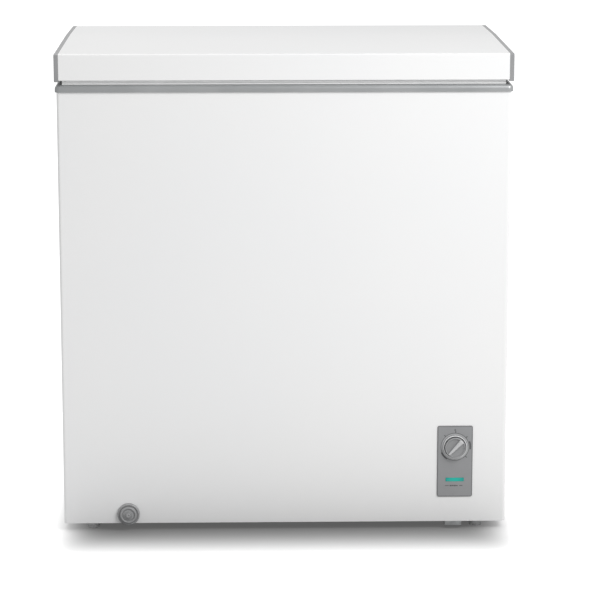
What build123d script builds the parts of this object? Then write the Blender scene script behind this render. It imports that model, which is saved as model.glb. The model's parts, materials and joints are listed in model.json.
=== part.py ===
"""Chest freezer with a hinged lid: cabinet, lid, refrigeration set, controls, drain and storage basket.

Millimetres, +Z up. The origin is on the floor, under the middle of the overall box. The front faces -Y.
"""
from build123d import *
import os

os.makedirs("parts", exist_ok=True)

# ---------------------------------------------------------------- clearances
fit = 0.1            # between fixed pieces that slide together
running = 0.05       # radial, between a turning shaft and its hole
soft_gap = 0.3       # between a soft or curved piece and its neighbour

# ---------------------------------------------------------------- cabinet
case_width = 793.0
case_depth = 523.0
case_bottom = 15.0   # lower edge of the painted case above the floor
case_top = 800.0
case_corner = 5.0    # bend radius of the case's upright corners
sheet = 0.8          # painted steel
bottom_flange = 14.0
wall_foam = 47.2     # insulation between the case and the liner
floor_foam = 60.0
liner_sheet = 0.8    # aluminium
liner_corner = 25.0
liner_floor_radius = 12.0
liner_flange = 20.0

frame_lip = 3.0      # how far the top frame stands out past the case
frame_skirt = 7.0    # how far it reaches down over the case
frame_roof = 6.0
frame_corner = 9.0
frame_edge = 7.5     # rounding of its upper outer edge
frame_lining = 3.0   # wall that lines the mouth of the well
frame_lining_drop = 18.0
ledge_width = 6.0    # carries the basket
ledge_thickness = 3.0

# ---------------------------------------------------------------- lid
lid_side_overhang = 3.5
lid_front_overhang = 6.0
lid_rear_overhang = 11.0
lid_fall = 4.0       # drop of the lid's top towards the rear edge
lid_flat_share = 0.62
lid_edge = 3.0       # bend radius of its upper front and rear edges
lid_skin_height = 45.5
lid_return = 12.0    # fold of the skin under its front and rear edges
cap_width = 8.0
cap_drop = 3.0       # how far the end caps reach below the skin
cap_rounding = 1.5
cap_tongue = 10.0
cap_tongue_wall = 3.0
lid_liner_sheet = 1.5
lid_liner_setback = 8.0
plug_depth = 15.0    # how far the lid's inner panel reaches down into the mouth
plug_clearance = 6.0
plug_corner = 18.0
gasket_width = 22.0
gasket_height = 7.0    # squeezed between the top frame and the lid
gasket_side_setback = 13.0   # from the frame's outer faces
gasket_front_setback = 4.5
gasket_rear_setback = 13.0
gasket_bulb = 4.5
gasket_neck_inset = 3.0

# ---------------------------------------------------------------- hinges
hinge_from_side = 146.5  # its middle plane from the case's side
hinge_width = 60.0
hinge_plate = 2.0
hinge_drop = 92.0    # height of the hinge plate on the rear panel
hinge_below_frame = 2.0
hinge_arm = 14.0     # pin axis behind the cabinet's rear face
pin_above_frame = 1.0
pin_radius = 3.0
pin_head_radius = 4.8
pin_head = 2.0
ear_radius = 7.0
leaf_height = 34.0
leaf_side_gap = 0.4
spring_wire = 2.2
spring_gap = 0.9     # between its turns
spring_turns = 12
spring_leg = 26.0
hinge_screw_spread = 16.0  # from the hinge's middle plane
hinge_screw_margin = 14.0  # from the ends of its plate
leaf_screw_spread = 12.0
leaf_screw_below = 10.0    # from the leaf's upper end
hinge_cover_wall = 2.0
hinge_cover_rear = 10.0  # outside of the cover behind the pin axis
hinge_cover_side = 4.0

# ---------------------------------------------------------------- screws
screw_radius = 2.0
screw_length = 14.0
screw_head_radius = 4.0
screw_head = 2.4

# ---------------------------------------------------------------- compressor compartment
room_width = 185.0
room_height = 300.0
room_foam = 50.0     # insulation over and beside the compartment
base_plate = 1.5
base_tongue_width = 30.0
base_tongue_length = 60.0
base_tongue_drop = 6.5
base_upstand = 10.0
window_margin = 16.0
cover_overlap = 8.0
cover_sheet = 1.0
louvre_height = 5.0
louvre_width = 52.0
cover_screw_margin = 12.0
louvre_pitch = 14.0
grille_width = 160.0
grille_height = 150.0
grille_low = 70.0
grille_rear = 70.0
grille_flange = 8.0
grille_proud = 1.5
grille_depth = 8.0
grille_wall = 2.5

# ---------------------------------------------------------------- refrigeration set
compressor_width = 130.0
compressor_length = 170.0
compressor_height = 165.0
compressor_side_radius = 58.0
compressor_dome = 38.0
compressor_behind = 130.0  # its axis ahead of the case's rear face
compressor_clear = 18.0    # shell above the base plate
seam_height = 5.0
seam_lip = 3.0
bracket_width = 150.0
bracket_length = 216.0
bracket_plate = 3.0
bracket_inset = 13.0
bracket_upstand = 6.0
grommet_radius = 11.0
grommet_waist = 8.0
grommet_height = 12.0
grommet_cap = 4.0
stud_radius = 4.0
nut_radius = 7.5
nut_height = 6.5
washer_height = 1.2
relay_width = 56.0
relay_depth = 30.0
relay_height = 62.0
relay_low = 36.0
hot_tube = 2.4       # radii of the tubes
cold_tube = 4.0
drier_radius = 9.5
drier_length = 105.0
capillary = 1.1
tube_bend = 14.0
thin_tube_bend = 10.0
discharge_left = 8.0       # where the tubes leave the shell, from its axis
discharge_ahead = 24.0
discharge_rise = 45.0
discharge_slope = 14.0
hot_tube_from_wall = 30.0  # where they pass the compartment's roof, from its left wall
hot_tube_ahead = 40.0      # and from the compressor's axis
suction_right = 2.0
suction_behind = 26.0
suction_rise = 38.0
suction_slope = 22.0
cold_tube_from_wall = 52.0
cold_tube_behind = 40.0
process_right = 8.0
process_ahead = 8.0
process_height = 62.0
process_neck = 0.8         # the stub is thinner than the suction tube by this
pinch_height = 12.0
pinch_thickness = 2.0
drier_from_wall = 26.0
drier_ahead = 110.0
drier_below_roof = 32.0
drier_taper = 10.0
drier_stub = 0.6           # its ends are wider than the tubes by this
feed_from_case = 28.0
feed_ahead = 150.0
capillary_drop = 24.0      # its loop below the drier
capillary_step_x = 40.0
capillary_step_y = 60.0
capillary_far_x = 70.0
capillary_far_y = 40.0
capillary_rise = 20.0
capillary_end_rise = 40.0
condenser_pitch = 62.0
condenser_top_gap = 60.0  # free height above its top row
condenser_first = 26.0     # its first row above the compartment's roof
condenser_back = 12.0      # its return under the first row
condenser_turn = 44.0      # its turns ahead of the case's rear face
condenser_drop = 16.0      # its way back down, ahead of that face
evaporator_pitch = 52.0
evaporator_bend = 12.0
evaporator_top_gap = 50.0
evaporator_bottom_gap = 30.0
evaporator_entry = 50.0    # sideways step of the feed before the first turn
evaporator_tail = 22.0     # its end below the last turn
evaporator_tail_x = 40.0
evaporator_tail_y = 14.0
evaporator_tail_end = 30.0

# ---------------------------------------------------------------- controls
panel_from_side = 91.5   # its middle line from the case's right side
panel_width = 63.5
panel_height = 131.0
panel_top = 192.0
panel_corner = 3.5
panel_proud = 2.0
panel_plate = 3.0
panel_sleeve = 7.0
panel_rim = 2.5
knob_below_top = 38.4
knob_radius = 21.3
knob_base = 4.0
knob_crown_radius = 18.7
knob_crown = 7.0
knob_bar_width = 8.0
knob_bar_height = 4.0
knob_bar_angle = 42.0  # clockwise from upright
knob_gap = 0.5
spindle_radius = 3.0
bushing_radius = 5.0
thermostat_side = 38.0
thermostat_depth = 26.0
lens_width = 33.0
lens_height = 6.8
lens_below_top = 99.1
lens_proud = 0.3
lamp_radius = 6.0
lamp_length = 18.0
box_wall = 2.0
box_depth = 62.0
sensor_radius = 1.5
sensor_behind = 30.0       # its way up, behind the case's front face
sensor_rise = 30.0
sensor_slope = 30.0
lead_radius = 3.0
lead_bend = 30.0
lead_below = 30.0          # its hole below the panel's middle
lead_left = 12.0
lead_dip = 8.0
lead_at_relay = 20.0       # above the relay cover's lower edge
inlet_radius = 8.0
inlet_bore = 4.0

# ---------------------------------------------------------------- drain
drain_from_side = 115.5  # its axis from the case's left side
drain_z = 32.0
drain_flange_radius = 20.0
drain_flange = 5.0
drain_sleeve_radius = 14.0
drain_sleeve_length = 46.0
drain_sleeve_end = 3.0
drain_recess = 4.0
spout_radius = 12.0
spout_bore = 8.0
dial_radius = 15.6
dial_thickness = 8.0
dial_button_radius = 6.0
dial_button = 2.0
dial_spigot = 10.0
drain_pipe_wall = 2.0
drain_pipe_bend = 22.0
drain_inlet_behind = 96.0  # the floor outlet behind the case's front face
stopper_flange_radius = 18.0
stopper_flange = 4.0
stopper_shank = 9.0
stopper_grip_radius = 5.0
stopper_grip = 8.0

# ---------------------------------------------------------------- feet
foot_side_inset = 50.5
foot_end_inset = 32.0
foot_top_radius = 13.0
foot_radius = 10.5
foot_stem_radius = 5.0
foot_stem = 5.0

# ---------------------------------------------------------------- storage basket
basket_width = 240.0
basket_height = 190.0
basket_wire = 4.0
basket_side_gap = 12.0   # from the ledge to the basket's walls
basket_end_gap = 15.0    # from the ledge to the basket at the right end of its travel
basket_pitch = 29.0
basket_long_wires = 5
basket_rings = 3

# ---------------------------------------------------------------- places worked out from the sizes
drain_reach = drain_flange + dial_thickness - drain_recess + dial_button
knob_reach = panel_proud + knob_gap + knob_base + knob_crown + knob_bar_height
front_reach = max(drain_reach, knob_reach, lid_front_overhang)
hinge_reach = hinge_arm + hinge_cover_rear
case_front = front_reach - (front_reach + case_depth + hinge_reach) / 2
case_rear = case_front + case_depth
case_x = case_width / 2
hinge_x = case_x - hinge_from_side
panel_x = case_x - panel_from_side
drain_x = drain_from_side - case_x
panel_floor = case_bottom + sheet          # underside of the bottom panel
foam_bottom = panel_floor + sheet
well_x = case_x - sheet - wall_foam - liner_sheet
well_front = case_front + sheet + wall_foam + liner_sheet
well_rear = case_rear - sheet - wall_foam - liner_sheet
well_floor = foam_bottom + floor_foam + liner_sheet
room_x = case_x - sheet - room_width       # left side of the compressor compartment
room_top = case_bottom + room_height
hump_x = room_x - sheet - room_foam - liner_sheet
hump_top = room_top + sheet + room_foam + liner_sheet
frame_top = case_top + frame_roof
frame_bottom = case_top - frame_skirt
mouth_x = well_x - fit - frame_lining
mouth_front = well_front + fit + frame_lining
mouth_rear = well_rear - fit - frame_lining
ledge_top = case_top - frame_lining_drop + ledge_thickness
lid_x = case_x + lid_side_overhang
lid_front = case_front - lid_front_overhang
lid_rear = case_rear + lid_rear_overhang
liner_rim_bottom = frame_top + gasket_height
lid_bottom = liner_rim_bottom + lid_liner_sheet
lid_top = lid_bottom + lid_skin_height
cap_inner = lid_x - cap_width
pin_y = case_rear + hinge_arm
pin_z = frame_top + pin_above_frame
hinge_plate_top = frame_bottom - hinge_below_frame
knob_z = panel_top - knob_below_top
lens_z = panel_top - lens_below_top
base_top = case_bottom
compressor_x = room_x + room_width / 2
compressor_y = case_rear - compressor_behind
shell_bottom = base_top + compressor_clear
shell_top = shell_bottom + compressor_height
drain_y = case_front + drain_inlet_behind


# ---------------------------------------------------------------- helpers
def save(name, *solids):
    """Writes one sub-part; identical pieces share a file as separate solids."""
    shape = solids[0] if len(solids) == 1 else Compound(children=list(solids))
    export_step(shape, f"parts/{name}.step")


def block(x0, x1, y0, y1, z0, z1):
    """Box between two corners."""
    return Pos((x0 + x1) / 2, (y0 + y1) / 2, (z0 + z1) / 2) * Box(x1 - x0, y1 - y0, z1 - z0)


def plan(x0, x1, y0, y1, radius):
    """Rectangle seen from above with rounded corners."""
    return Pos((x0 + x1) / 2, (y0 + y1) / 2) * RectangleRounded(x1 - x0, y1 - y0, radius)


def upright(outline, z0, z1):
    """An outline seen from above, raised between two heights."""
    return Pos(0, 0, z0) * extrude(outline, z1 - z0)


def sideways(outline, x0, x1):
    """An outline drawn in Y and Z, run along X."""
    return Pos(x0, 0, 0) * extrude(Plane.YZ * outline, x1 - x0)


def disc_y(x, z, y0, y1, radius):
    """Round bar along Y."""
    return Pos(x, (y0 + y1) / 2, z) * Rot(90, 0, 0) * Cylinder(radius, y1 - y0)


def disc_z(x, y, z0, z1, radius):
    """Round bar along Z."""
    return Pos(x, y, (z0 + z1) / 2) * Cylinder(radius, z1 - z0)


def disc_x(y, z, x0, x1, radius):
    """Round bar along X."""
    return Pos((x0 + x1) / 2, y, z) * Rot(0, 90, 0) * Cylinder(radius, x1 - x0)


def face_panel(x, z, width, height, y0, y1, radius):
    """Rounded rectangle that faces the front, between two depths."""
    outline = Plane.XZ * (Pos(x, z) * RectangleRounded(width, height, radius))
    return Pos(0, y1, 0) * extrude(outline, y1 - y0)


def pipe(points, radius, bend, bore=0.0):
    """Tube along straight runs that are joined by tangent arcs."""
    path = FilletPolyline(*points, radius=bend)
    ring = Circle(radius) - Circle(bore) if bore else Circle(radius)
    return sweep(Plane(origin=path @ 0, z_dir=path % 0) * ring, path=path)


def lower_edges(solid):
    """Edges round a solid's lowest face."""
    return solid.faces().sort_by(Axis.Z)[0].edges()


def upper_edges(solid):
    """Edges round a solid's highest face."""
    return solid.faces().sort_by(Axis.Z)[-1].edges()


def screw_y(x, z, y, length=screw_length):
    """Pan-head screw driven forward into a face that looks to the rear."""
    head = fillet(disc_y(x, z, y, y + screw_head, screw_head_radius).edges().sort_by(Axis.Y)[-1], 1.2)
    return head + disc_y(x, z, y - length, y, screw_radius)


def screw_hole_y(x, z, y, length=screw_length):
    """Hole for such a screw."""
    return disc_y(x, z, y - length - fit, y + 1, screw_radius + fit)


# ---------------------------------------------------------------- cabinet shell
def case_plan(inset, rear):
    """The case seen from above at an inset from its outside: rounded in front, open behind."""
    x = case_x - inset
    front = case_front + inset
    outline = Pos(0, (front + rear) / 2) * Rectangle(2 * x, rear - front)
    corners = outline.vertices().filter_by_position(Axis.Y, front - 0.01, front + 0.01)
    return fillet(corners, case_corner - inset)


def make_outer_case():
    """One sheet wrapped round the front and both sides, folded in at the bottom."""
    wrap = upright(case_plan(0, case_rear), case_bottom, case_top)
    wrap -= upright(case_plan(sheet, case_rear + 1), case_bottom - 1, case_top + 1)
    fold = upright(case_plan(sheet, case_rear - sheet), case_bottom, case_bottom + sheet)
    fold -= block(-case_x + bottom_flange, case_x - bottom_flange, case_front + bottom_flange,
                  case_rear, case_bottom - 1, case_bottom + 2 * sheet)
    case = wrap + fold
    case -= face_panel(panel_x, panel_top - panel_height / 2, panel_width - 2 * panel_rim + 2 * fit,
                       panel_height - 2 * panel_rim + 2 * fit, case_front - 1, case_front + 2, panel_corner)
    case -= disc_y(drain_x, drain_z, case_front - 1, case_front + bottom_flange + 1, drain_sleeve_radius + fit)
    case -= block(case_x - 2, case_x + 1, *grille_hole())
    return case


def grille_hole():
    """Y and Z limits of the opening behind the side grille."""
    rear = case_rear - grille_rear
    return rear - grille_width + grille_flange, rear - grille_flange, \
        grille_low + grille_flange, grille_low + grille_height - grille_flange


def window():
    """X and Z limits of the service window in the rear panel."""
    return room_x + window_margin, case_x - sheet - window_margin, \
        case_bottom + window_margin, room_top - window_margin


def make_rear_panel():
    x0, x1, z0, z1 = window()
    inner = case_x - sheet
    panel = block(-inner, inner, case_rear - sheet, case_rear, case_bottom, case_top)
    panel -= block(x0, x1, case_rear - 2, case_rear + 1, z0, z1)
    for x, z in cover_screw_places() + hinge_screw_places():
        panel -= screw_hole_y(x, z, case_rear)
    return panel


def make_bottom_panel():
    return block(-case_x + sheet, room_x - sheet, case_front + sheet + case_corner, case_rear - sheet,
                 panel_floor, foam_bottom) \
        - disc_z(*foot_places()[0], panel_floor - 1, foam_bottom + 1, foot_stem_radius + fit) \
        - disc_z(*foot_places()[1], panel_floor - 1, foam_bottom + 1, foot_stem_radius + fit)


def well(grow, top):
    """The storage well's inside grown by a thickness: deep on the left, shallow over the compressor."""
    front, rear = well_front - grow, well_rear + grow
    corner = liner_corner + grow
    deep = upright(plan(-well_x - grow, hump_x + grow, front, rear, corner), well_floor - grow, top)
    shallow = upright(plan(-well_x - grow, well_x + grow, front, rear, corner), hump_top - grow, top)
    radius = liner_floor_radius + grow
    return fillet(lower_edges(deep), radius) + fillet(lower_edges(shallow), radius)


def make_inner_liner():
    rim = well_x + liner_flange
    tub = well(liner_sheet, case_top)
    tub += upright(plan(-rim, rim, well_front - liner_flange, well_rear + liner_flange, liner_corner),
                   case_top - liner_sheet, case_top)
    tub -= well(0, case_top + 1)
    return tub - disc_z(drain_x, drain_y, well_floor - 2, well_floor + 1, spout_bore)


def compressor_room(grow):
    """The compartment's outside, grown by its partition sheet."""
    return block(room_x - grow, case_x, case_front, case_rear, 0, room_top + grow)


def make_cabinet_foam():
    foam = upright(case_plan(sheet, case_rear - sheet), foam_bottom, case_top - liner_sheet)
    foam -= well(liner_sheet, case_top)
    foam -= compressor_room(sheet)
    sleeve_end = case_front + sheet + drain_sleeve_length
    foam -= disc_y(drain_x, drain_z, case_front, sleeve_end, drain_sleeve_radius + fit)
    foam -= pipe(drain_route(), spout_bore + drain_pipe_wall + fit, drain_pipe_bend)
    foam -= disc_z(*sensor_place(), room_top, hump_top, sensor_radius + fit)
    for x, z in hinge_screw_places():
        foam -= screw_hole_y(x, z, case_rear)
    for x, y in foot_places()[:2]:
        foam -= disc_z(x, y, case_bottom, foam_bottom + foot_stem, foot_stem_radius + fit)
    return foam


def make_room_partition():
    """Bent sheet between the insulation and the compressor compartment."""
    front, rear = case_front + sheet + case_corner, case_rear - sheet
    upright_wall = block(room_x - sheet, room_x, front, rear, panel_floor, room_top)
    roof = block(room_x - sheet, case_x - sheet, front, rear, room_top, room_top + sheet)
    foot_front = case_front + bottom_flange + fit
    foot = block(room_x - sheet, room_x + bottom_flange - 2, foot_front, rear, case_bottom, panel_floor)
    partition = upright_wall + roof + foot
    for x, y, radius in roof_holes():
        partition -= disc_z(x, y, room_top - 1, room_top + 2, radius + fit)
    return partition


def make_top_frame():
    """Moulded collar over the cabinet's rim, with a ledge inside the mouth for the basket."""
    x = case_x + frame_lip
    frame = upright(plan(-x, x, case_front - frame_lip, case_rear + frame_lip, frame_corner),
                    frame_bottom, frame_top)
    frame = fillet(upper_edges(frame), frame_edge)
    frame -= upright(case_plan(-fit, case_rear + fit), frame_bottom - 1, case_top)
    mouth = plan(-mouth_x, mouth_x, mouth_front, mouth_rear, liner_corner - frame_lining)
    lining = plan(-well_x + fit, well_x - fit, well_front + fit, well_rear - fit, liner_corner - fit)
    frame += upright(lining, ledge_top - ledge_thickness, frame_top - 1)
    frame -= upright(mouth, ledge_top, frame_top + 1)
    ledge = plan(-mouth_x + ledge_width, mouth_x - ledge_width, mouth_front + ledge_width,
                 mouth_rear - ledge_width, liner_corner - frame_lining - ledge_width)
    return frame - upright(ledge, ledge_top - ledge_thickness - 1, ledge_top + 1)


def foot_places():
    """Centres of the four feet: the two under the insulation, then the two under the base plate."""
    x = case_x - foot_side_inset
    front, rear = case_front + foot_end_inset, case_rear - foot_end_inset
    return [(-x, front), (-x, rear), (x, front), (x, rear)]


def make_foot(x, y, top, stem_top):
    """Tapered pad with a stem that presses into the plate above it."""
    pad = Pos(x, y, top / 2) * Cone(foot_radius, foot_top_radius, top)
    pad = fillet(lower_edges(pad), 1.2)
    return pad + disc_z(x, y, top, stem_top, foot_stem_radius)


def make_feet():
    feet = []
    for index, (x, y) in enumerate(foot_places()):
        left = index < 2
        top = panel_floor if left else base_top - base_plate
        feet.append(make_foot(x, y, top, top + foot_stem))
    return feet


# ---------------------------------------------------------------- lid
def lid_side(inset, bottom):
    """The lid seen from its end: flat in front, falling a little towards the rear."""
    front, rear, top = lid_front + inset, lid_rear - inset, lid_top - inset
    slope_start = lid_front + lid_flat_share * (lid_rear - lid_front)
    outline = make_face(Polyline((front, bottom), (front, top), (slope_start, top), (rear, top - lid_fall),
                                 (rear, bottom), close=True))
    ends = outline.vertices().filter_by(lambda v: v.Y > bottom + 5 and not front + 5 < v.X < rear - 5)
    return fillet(ends, max(lid_edge - inset, 0.5))


def make_lid_skin():
    """Painted sheet over the top, folded down and under at the front and the rear."""
    skin = sideways(lid_side(0, lid_bottom) - lid_side(sheet, lid_bottom - 1), -cap_inner, cap_inner)
    for y0, y1 in ((lid_front + sheet, lid_front + lid_return), (lid_rear - lid_return, lid_rear - sheet)):
        skin += block(-cap_inner, cap_inner, y0, y1, lid_bottom, lid_bottom + sheet)
    for x, z in leaf_screw_places():
        skin -= screw_hole_y(x, z, lid_rear)
    return skin


def make_end_cap(side):
    """Moulded end of the lid, with a tongue that reaches in under the skin."""
    x0, x1 = sorted((side * cap_inner, side * lid_x))
    cap = sideways(lid_side(0, lid_bottom - cap_drop), x0, x1)
    outer = cap.faces().sort_by(Axis.X)[-1 if side > 0 else 0]
    cap = fillet(outer.edges(), cap_rounding)
    t0, t1 = sorted((side * (cap_inner - cap_tongue), side * cap_inner))
    inset = sheet + fit
    tongue = lid_side(inset, lid_bottom + sheet + fit)
    hollow = lid_side(inset + cap_tongue_wall, lid_bottom)
    return cap + sideways(tongue - hollow, t0, t1)


def plug_plan(inset):
    """The lid's inner plug seen from above."""
    x = mouth_x - ledge_width - plug_clearance - inset
    front = mouth_front + ledge_width + plug_clearance + inset
    rear = mouth_rear - ledge_width - plug_clearance - inset
    return plan(-x, x, front, rear, plug_corner - inset)


def make_lid_liner():
    x = lid_x - cap_width - 2
    front, rear = lid_front + lid_liner_setback, lid_rear - lid_liner_setback
    sheet_in = upright(plan(-x, x, front, rear, frame_corner), liner_rim_bottom, lid_bottom)
    plug = fillet(lower_edges(upright(plug_plan(0), lid_bottom - plug_depth, lid_bottom)), 4.0)
    return sheet_in + plug - plug_room(lid_bottom + 1)


def plug_room(top):
    """Space inside the plug, which the lid's insulation fills."""
    low = lid_bottom - plug_depth + lid_liner_sheet
    return fillet(lower_edges(upright(plug_plan(lid_liner_sheet), low, top)), 4.0 - lid_liner_sheet)


def make_lid_foam():
    foam = sideways(lid_side(sheet, lid_bottom), -cap_inner, cap_inner)
    for side in (-1, 1):
        t0, t1 = sorted((side * (cap_inner - cap_tongue), side * cap_inner))
        ring = lid_side(sheet, lid_bottom) - lid_side(sheet + 2 * fit + cap_tongue_wall, lid_bottom - 1)
        foam -= sideways(ring, t0 - fit, t1 + fit)
    for y0, y1 in ((lid_front, lid_front + lid_return), (lid_rear - lid_return, lid_rear)):
        foam -= block(-lid_x, lid_x, y0, y1, lid_bottom - 1, lid_bottom + sheet)
    foam += plug_room(lid_bottom)
    for x, z in leaf_screw_places():
        foam -= screw_hole_y(x, z, lid_rear)
    return foam


def make_gasket():
    """Seal with a thick lower bulb on a narrower neck."""
    def ring(inset, z0, z1):
        x = case_x + frame_lip - gasket_side_setback - inset
        front = case_front - frame_lip + gasket_front_setback + inset
        rear = case_rear + frame_lip - gasket_rear_setback - inset
        hole = gasket_width - 2 * inset
        outer = plan(-x, x, front, rear, frame_corner)
        inner = plan(-x + hole, x - hole, front + hole, rear - hole, frame_corner)
        return upright(outer - inner, z0, z1)

    bulb = ring(0, frame_top, frame_top + gasket_bulb)
    bulb = fillet(upper_edges(bulb), 1.5)
    return bulb + ring(gasket_neck_inset, frame_top + gasket_bulb - 0.5, liner_rim_bottom)


# ---------------------------------------------------------------- hinges
def hinge_screw_places():
    """X and Z of the screws that hold both hinge plates."""
    high = hinge_plate_top - hinge_screw_margin
    low = hinge_plate_top - hinge_drop + hinge_screw_margin
    return [(side * hinge_x + dx, z) for side in (-1, 1) for dx in (-hinge_screw_spread, hinge_screw_spread) for z in (low, high)]


def leaf_screw_places():
    """X and Z of the screws that hold both lid leaves."""
    z = lid_bottom + leaf_height - leaf_screw_below
    return [(side * hinge_x + dx, z) for side in (-1, 1) for dx in (-leaf_screw_spread, leaf_screw_spread)]


def ear(points, x0, x1):
    """Flat ear with a round end about the pin and a hole for it."""
    shape = sideways(make_face(Polyline(*points, close=True)), x0, x1)
    shape += disc_x(pin_y, pin_z, x0, x1, ear_radius)
    return shape - disc_x(pin_y, pin_z, x0 - 1, x1 + 1, pin_radius + running)


def make_hinge_body(x):
    """Plate on the rear panel with two ears that carry the pin."""
    bottom = hinge_plate_top - hinge_drop
    half = hinge_width / 2
    body = block(x - half, x + half, case_rear, case_rear + hinge_plate, bottom, hinge_plate_top)
    past_frame = case_rear + frame_lip + soft_gap
    points = [(case_rear, bottom), (case_rear, hinge_plate_top), (past_frame, hinge_plate_top),
              (past_frame, pin_z - ear_radius / 2), (pin_y, pin_z), (pin_y + ear_radius, pin_z),
              (pin_y + ear_radius, hinge_plate_top), (case_rear + hinge_plate + 3, bottom)]
    for x0 in (x - half, x + half - hinge_plate):
        body += ear(points, x0, x0 + hinge_plate)
    for sx, sz in hinge_screw_places():
        body -= screw_hole_y(sx, sz, case_rear + hinge_plate)
    return body


def make_hinge_leaf(x):
    """Plate on the lid's rear face with two ears inside those of the hinge body."""
    half = hinge_width / 2 - hinge_plate - leaf_side_gap
    low, high = lid_bottom + 1, lid_bottom + leaf_height
    leaf = block(x - half, x + half, lid_rear, lid_rear + hinge_plate, low, high)
    points = [(lid_rear, high), (lid_rear, pin_z), (pin_y + ear_radius, pin_z),
              (lid_rear + hinge_plate, high)]
    for x0 in (x - half, x + half - hinge_plate):
        leaf += ear(points, x0, x0 + hinge_plate)
    for sx, sz in leaf_screw_places():
        leaf -= screw_hole_y(sx, sz, lid_rear + hinge_plate)
    return leaf


def make_hinge_pin(x):
    half = hinge_width / 2
    shank = disc_x(pin_y, pin_z, x - half - pin_head, x + half + pin_head, pin_radius)
    heads = [disc_x(pin_y, pin_z, x - half - pin_head - fit, x - half - fit, pin_head_radius),
             disc_x(pin_y, pin_z, x + half + fit, x + half + pin_head + fit, pin_head_radius)]
    return shank + heads[0] + heads[1]


def make_hinge_spring(x):
    """Torsion spring round the pin, with a leg down the hinge plate."""
    wire = spring_wire / 2
    pitch = spring_wire + spring_gap
    radius = pin_radius + wire + soft_gap
    length = spring_turns * pitch
    helix = Helix(pitch, length, radius)
    coil = sweep(Plane(origin=helix @ 0, z_dir=helix % 0) * Circle(wire), path=helix, is_frenet=True)
    coil = Pos(x - length / 2, pin_y, pin_z) * Rot(0, 90, 0) * coil
    leg_top = pin_z - radius
    return coil + disc_z(x - length / 2, pin_y, leg_top - spring_leg, leg_top, wire)


def make_hinge_cover(x):
    half = hinge_width / 2 + hinge_cover_side
    top = pin_z - ear_radius - 1.5
    bottom = hinge_plate_top - hinge_drop - 4
    rear = pin_y + hinge_cover_rear
    shell = block(x - half, x + half, case_rear, rear, bottom, top)
    shell = fillet(shell.edges().filter_by(Axis.Z).group_by(Axis.Y)[-1], 4.0)
    wall = hinge_cover_wall
    room = block(x - half + wall, x + half - wall, case_rear - 1, rear - wall, bottom + wall, top + 1)
    past_frame = block(x - half - 1, x + half + 1, case_rear - 1, case_rear + frame_lip + soft_gap,
                       frame_bottom - soft_gap, top + 1)
    return shell - room - past_frame


# ---------------------------------------------------------------- compressor compartment
def cover_screw_places():
    """X and Z of the screws round the service cover, clear of its window."""
    x0, x1, z0, z1 = window()
    edge = cover_overlap / 2
    return [(x, z) for x in (x0 - edge, x1 + edge) 
            for z in (z0 + cover_screw_margin, (z0 + z1) / 2, z1 - cover_screw_margin)]


def make_service_cover():
    """Louvred sheet over the service window, with a hole for the cord inlet."""
    x0, x1, z0, z1 = window()
    lap = cover_overlap
    cover = block(x0 - lap, x1 + lap, case_rear, case_rear + cover_sheet, z0 - lap, z1 + lap)
    slots = int((z1 - z0) / 2 / louvre_pitch)
    for column in (0.28, 0.72):
        x = x0 + column * (x1 - x0)
        for row in range(slots):
            z = z1 - louvre_pitch * (row + 1)
            cover -= block(x - louvre_width / 2, x + louvre_width / 2, case_rear - 1, case_rear + 2, z - louvre_height, z)
    cover -= disc_y(*inlet_place(), case_rear - 1, case_rear + 2, inlet_radius - 2 + fit)
    for x, z in cover_screw_places():
        cover -= screw_hole_y(x, z, case_rear + cover_sheet)
    return cover


def inlet_place():
    """X and Z of the cord inlet in the service cover."""
    x0, _, z0, _ = window()
    return x0 + 24, z0 + 24


def make_cord_inlet():
    """Bushing that grips the edge of its hole on both sides."""
    x, z = inlet_place()
    rear = case_rear + cover_sheet
    bush = disc_y(x, z, case_rear - 4, rear + 4, inlet_radius - 2)
    bush += disc_y(x, z, rear, rear + 2.5, inlet_radius) + disc_y(x, z, case_rear - 2.5, case_rear, inlet_radius)
    return bush - disc_y(x, z, case_rear - 6, rear + 6, inlet_bore)


def make_side_grille():
    """Louvred vent set into the case's right side."""
    rear = case_rear - grille_rear
    y0, y1, z0, z1 = rear - grille_width, rear, grille_low, grille_low + grille_height
    grille = block(case_x, case_x + grille_proud, y0, y1, z0, z1)
    h0, h1, h2, h3 = grille_hole()
    grille += block(case_x - grille_depth, case_x, h0 + fit, h1 - fit, h2 + fit, h3 - fit)
    wall = grille_wall
    grille -= block(case_x - grille_depth - 1, case_x + 3, h0 + wall, h1 - wall, h2 + wall, h3 - wall)
    blades = int((h3 - h2 - 2 * wall) / louvre_pitch)
    pitch = (h3 - h2 - 2 * wall) / blades
    for k in range(blades + 1):
        z = h2 + wall + k * pitch
        blade = make_face(Polyline((case_x - grille_depth, z + 5), (case_x - grille_depth, z + 3),
                                   (case_x + grille_proud, z - 3), (case_x + grille_proud, z - 1), close=True))
        blade = extrude(Plane.XZ * blade, h1 - h0 - 2 * wall + 2)
        blade = Pos(0, h1 - wall + 1, 0) * blade
        grille += blade & block(0, case_x + 9, h0, h1, h2 + wall - 0.5, h3 - wall + 0.5)
    post = (h0 + h1) / 2
    return grille + block(case_x - grille_depth, case_x + grille_proud, post - 1.5, post + 1.5, h2 + wall, h3 - wall)


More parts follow.
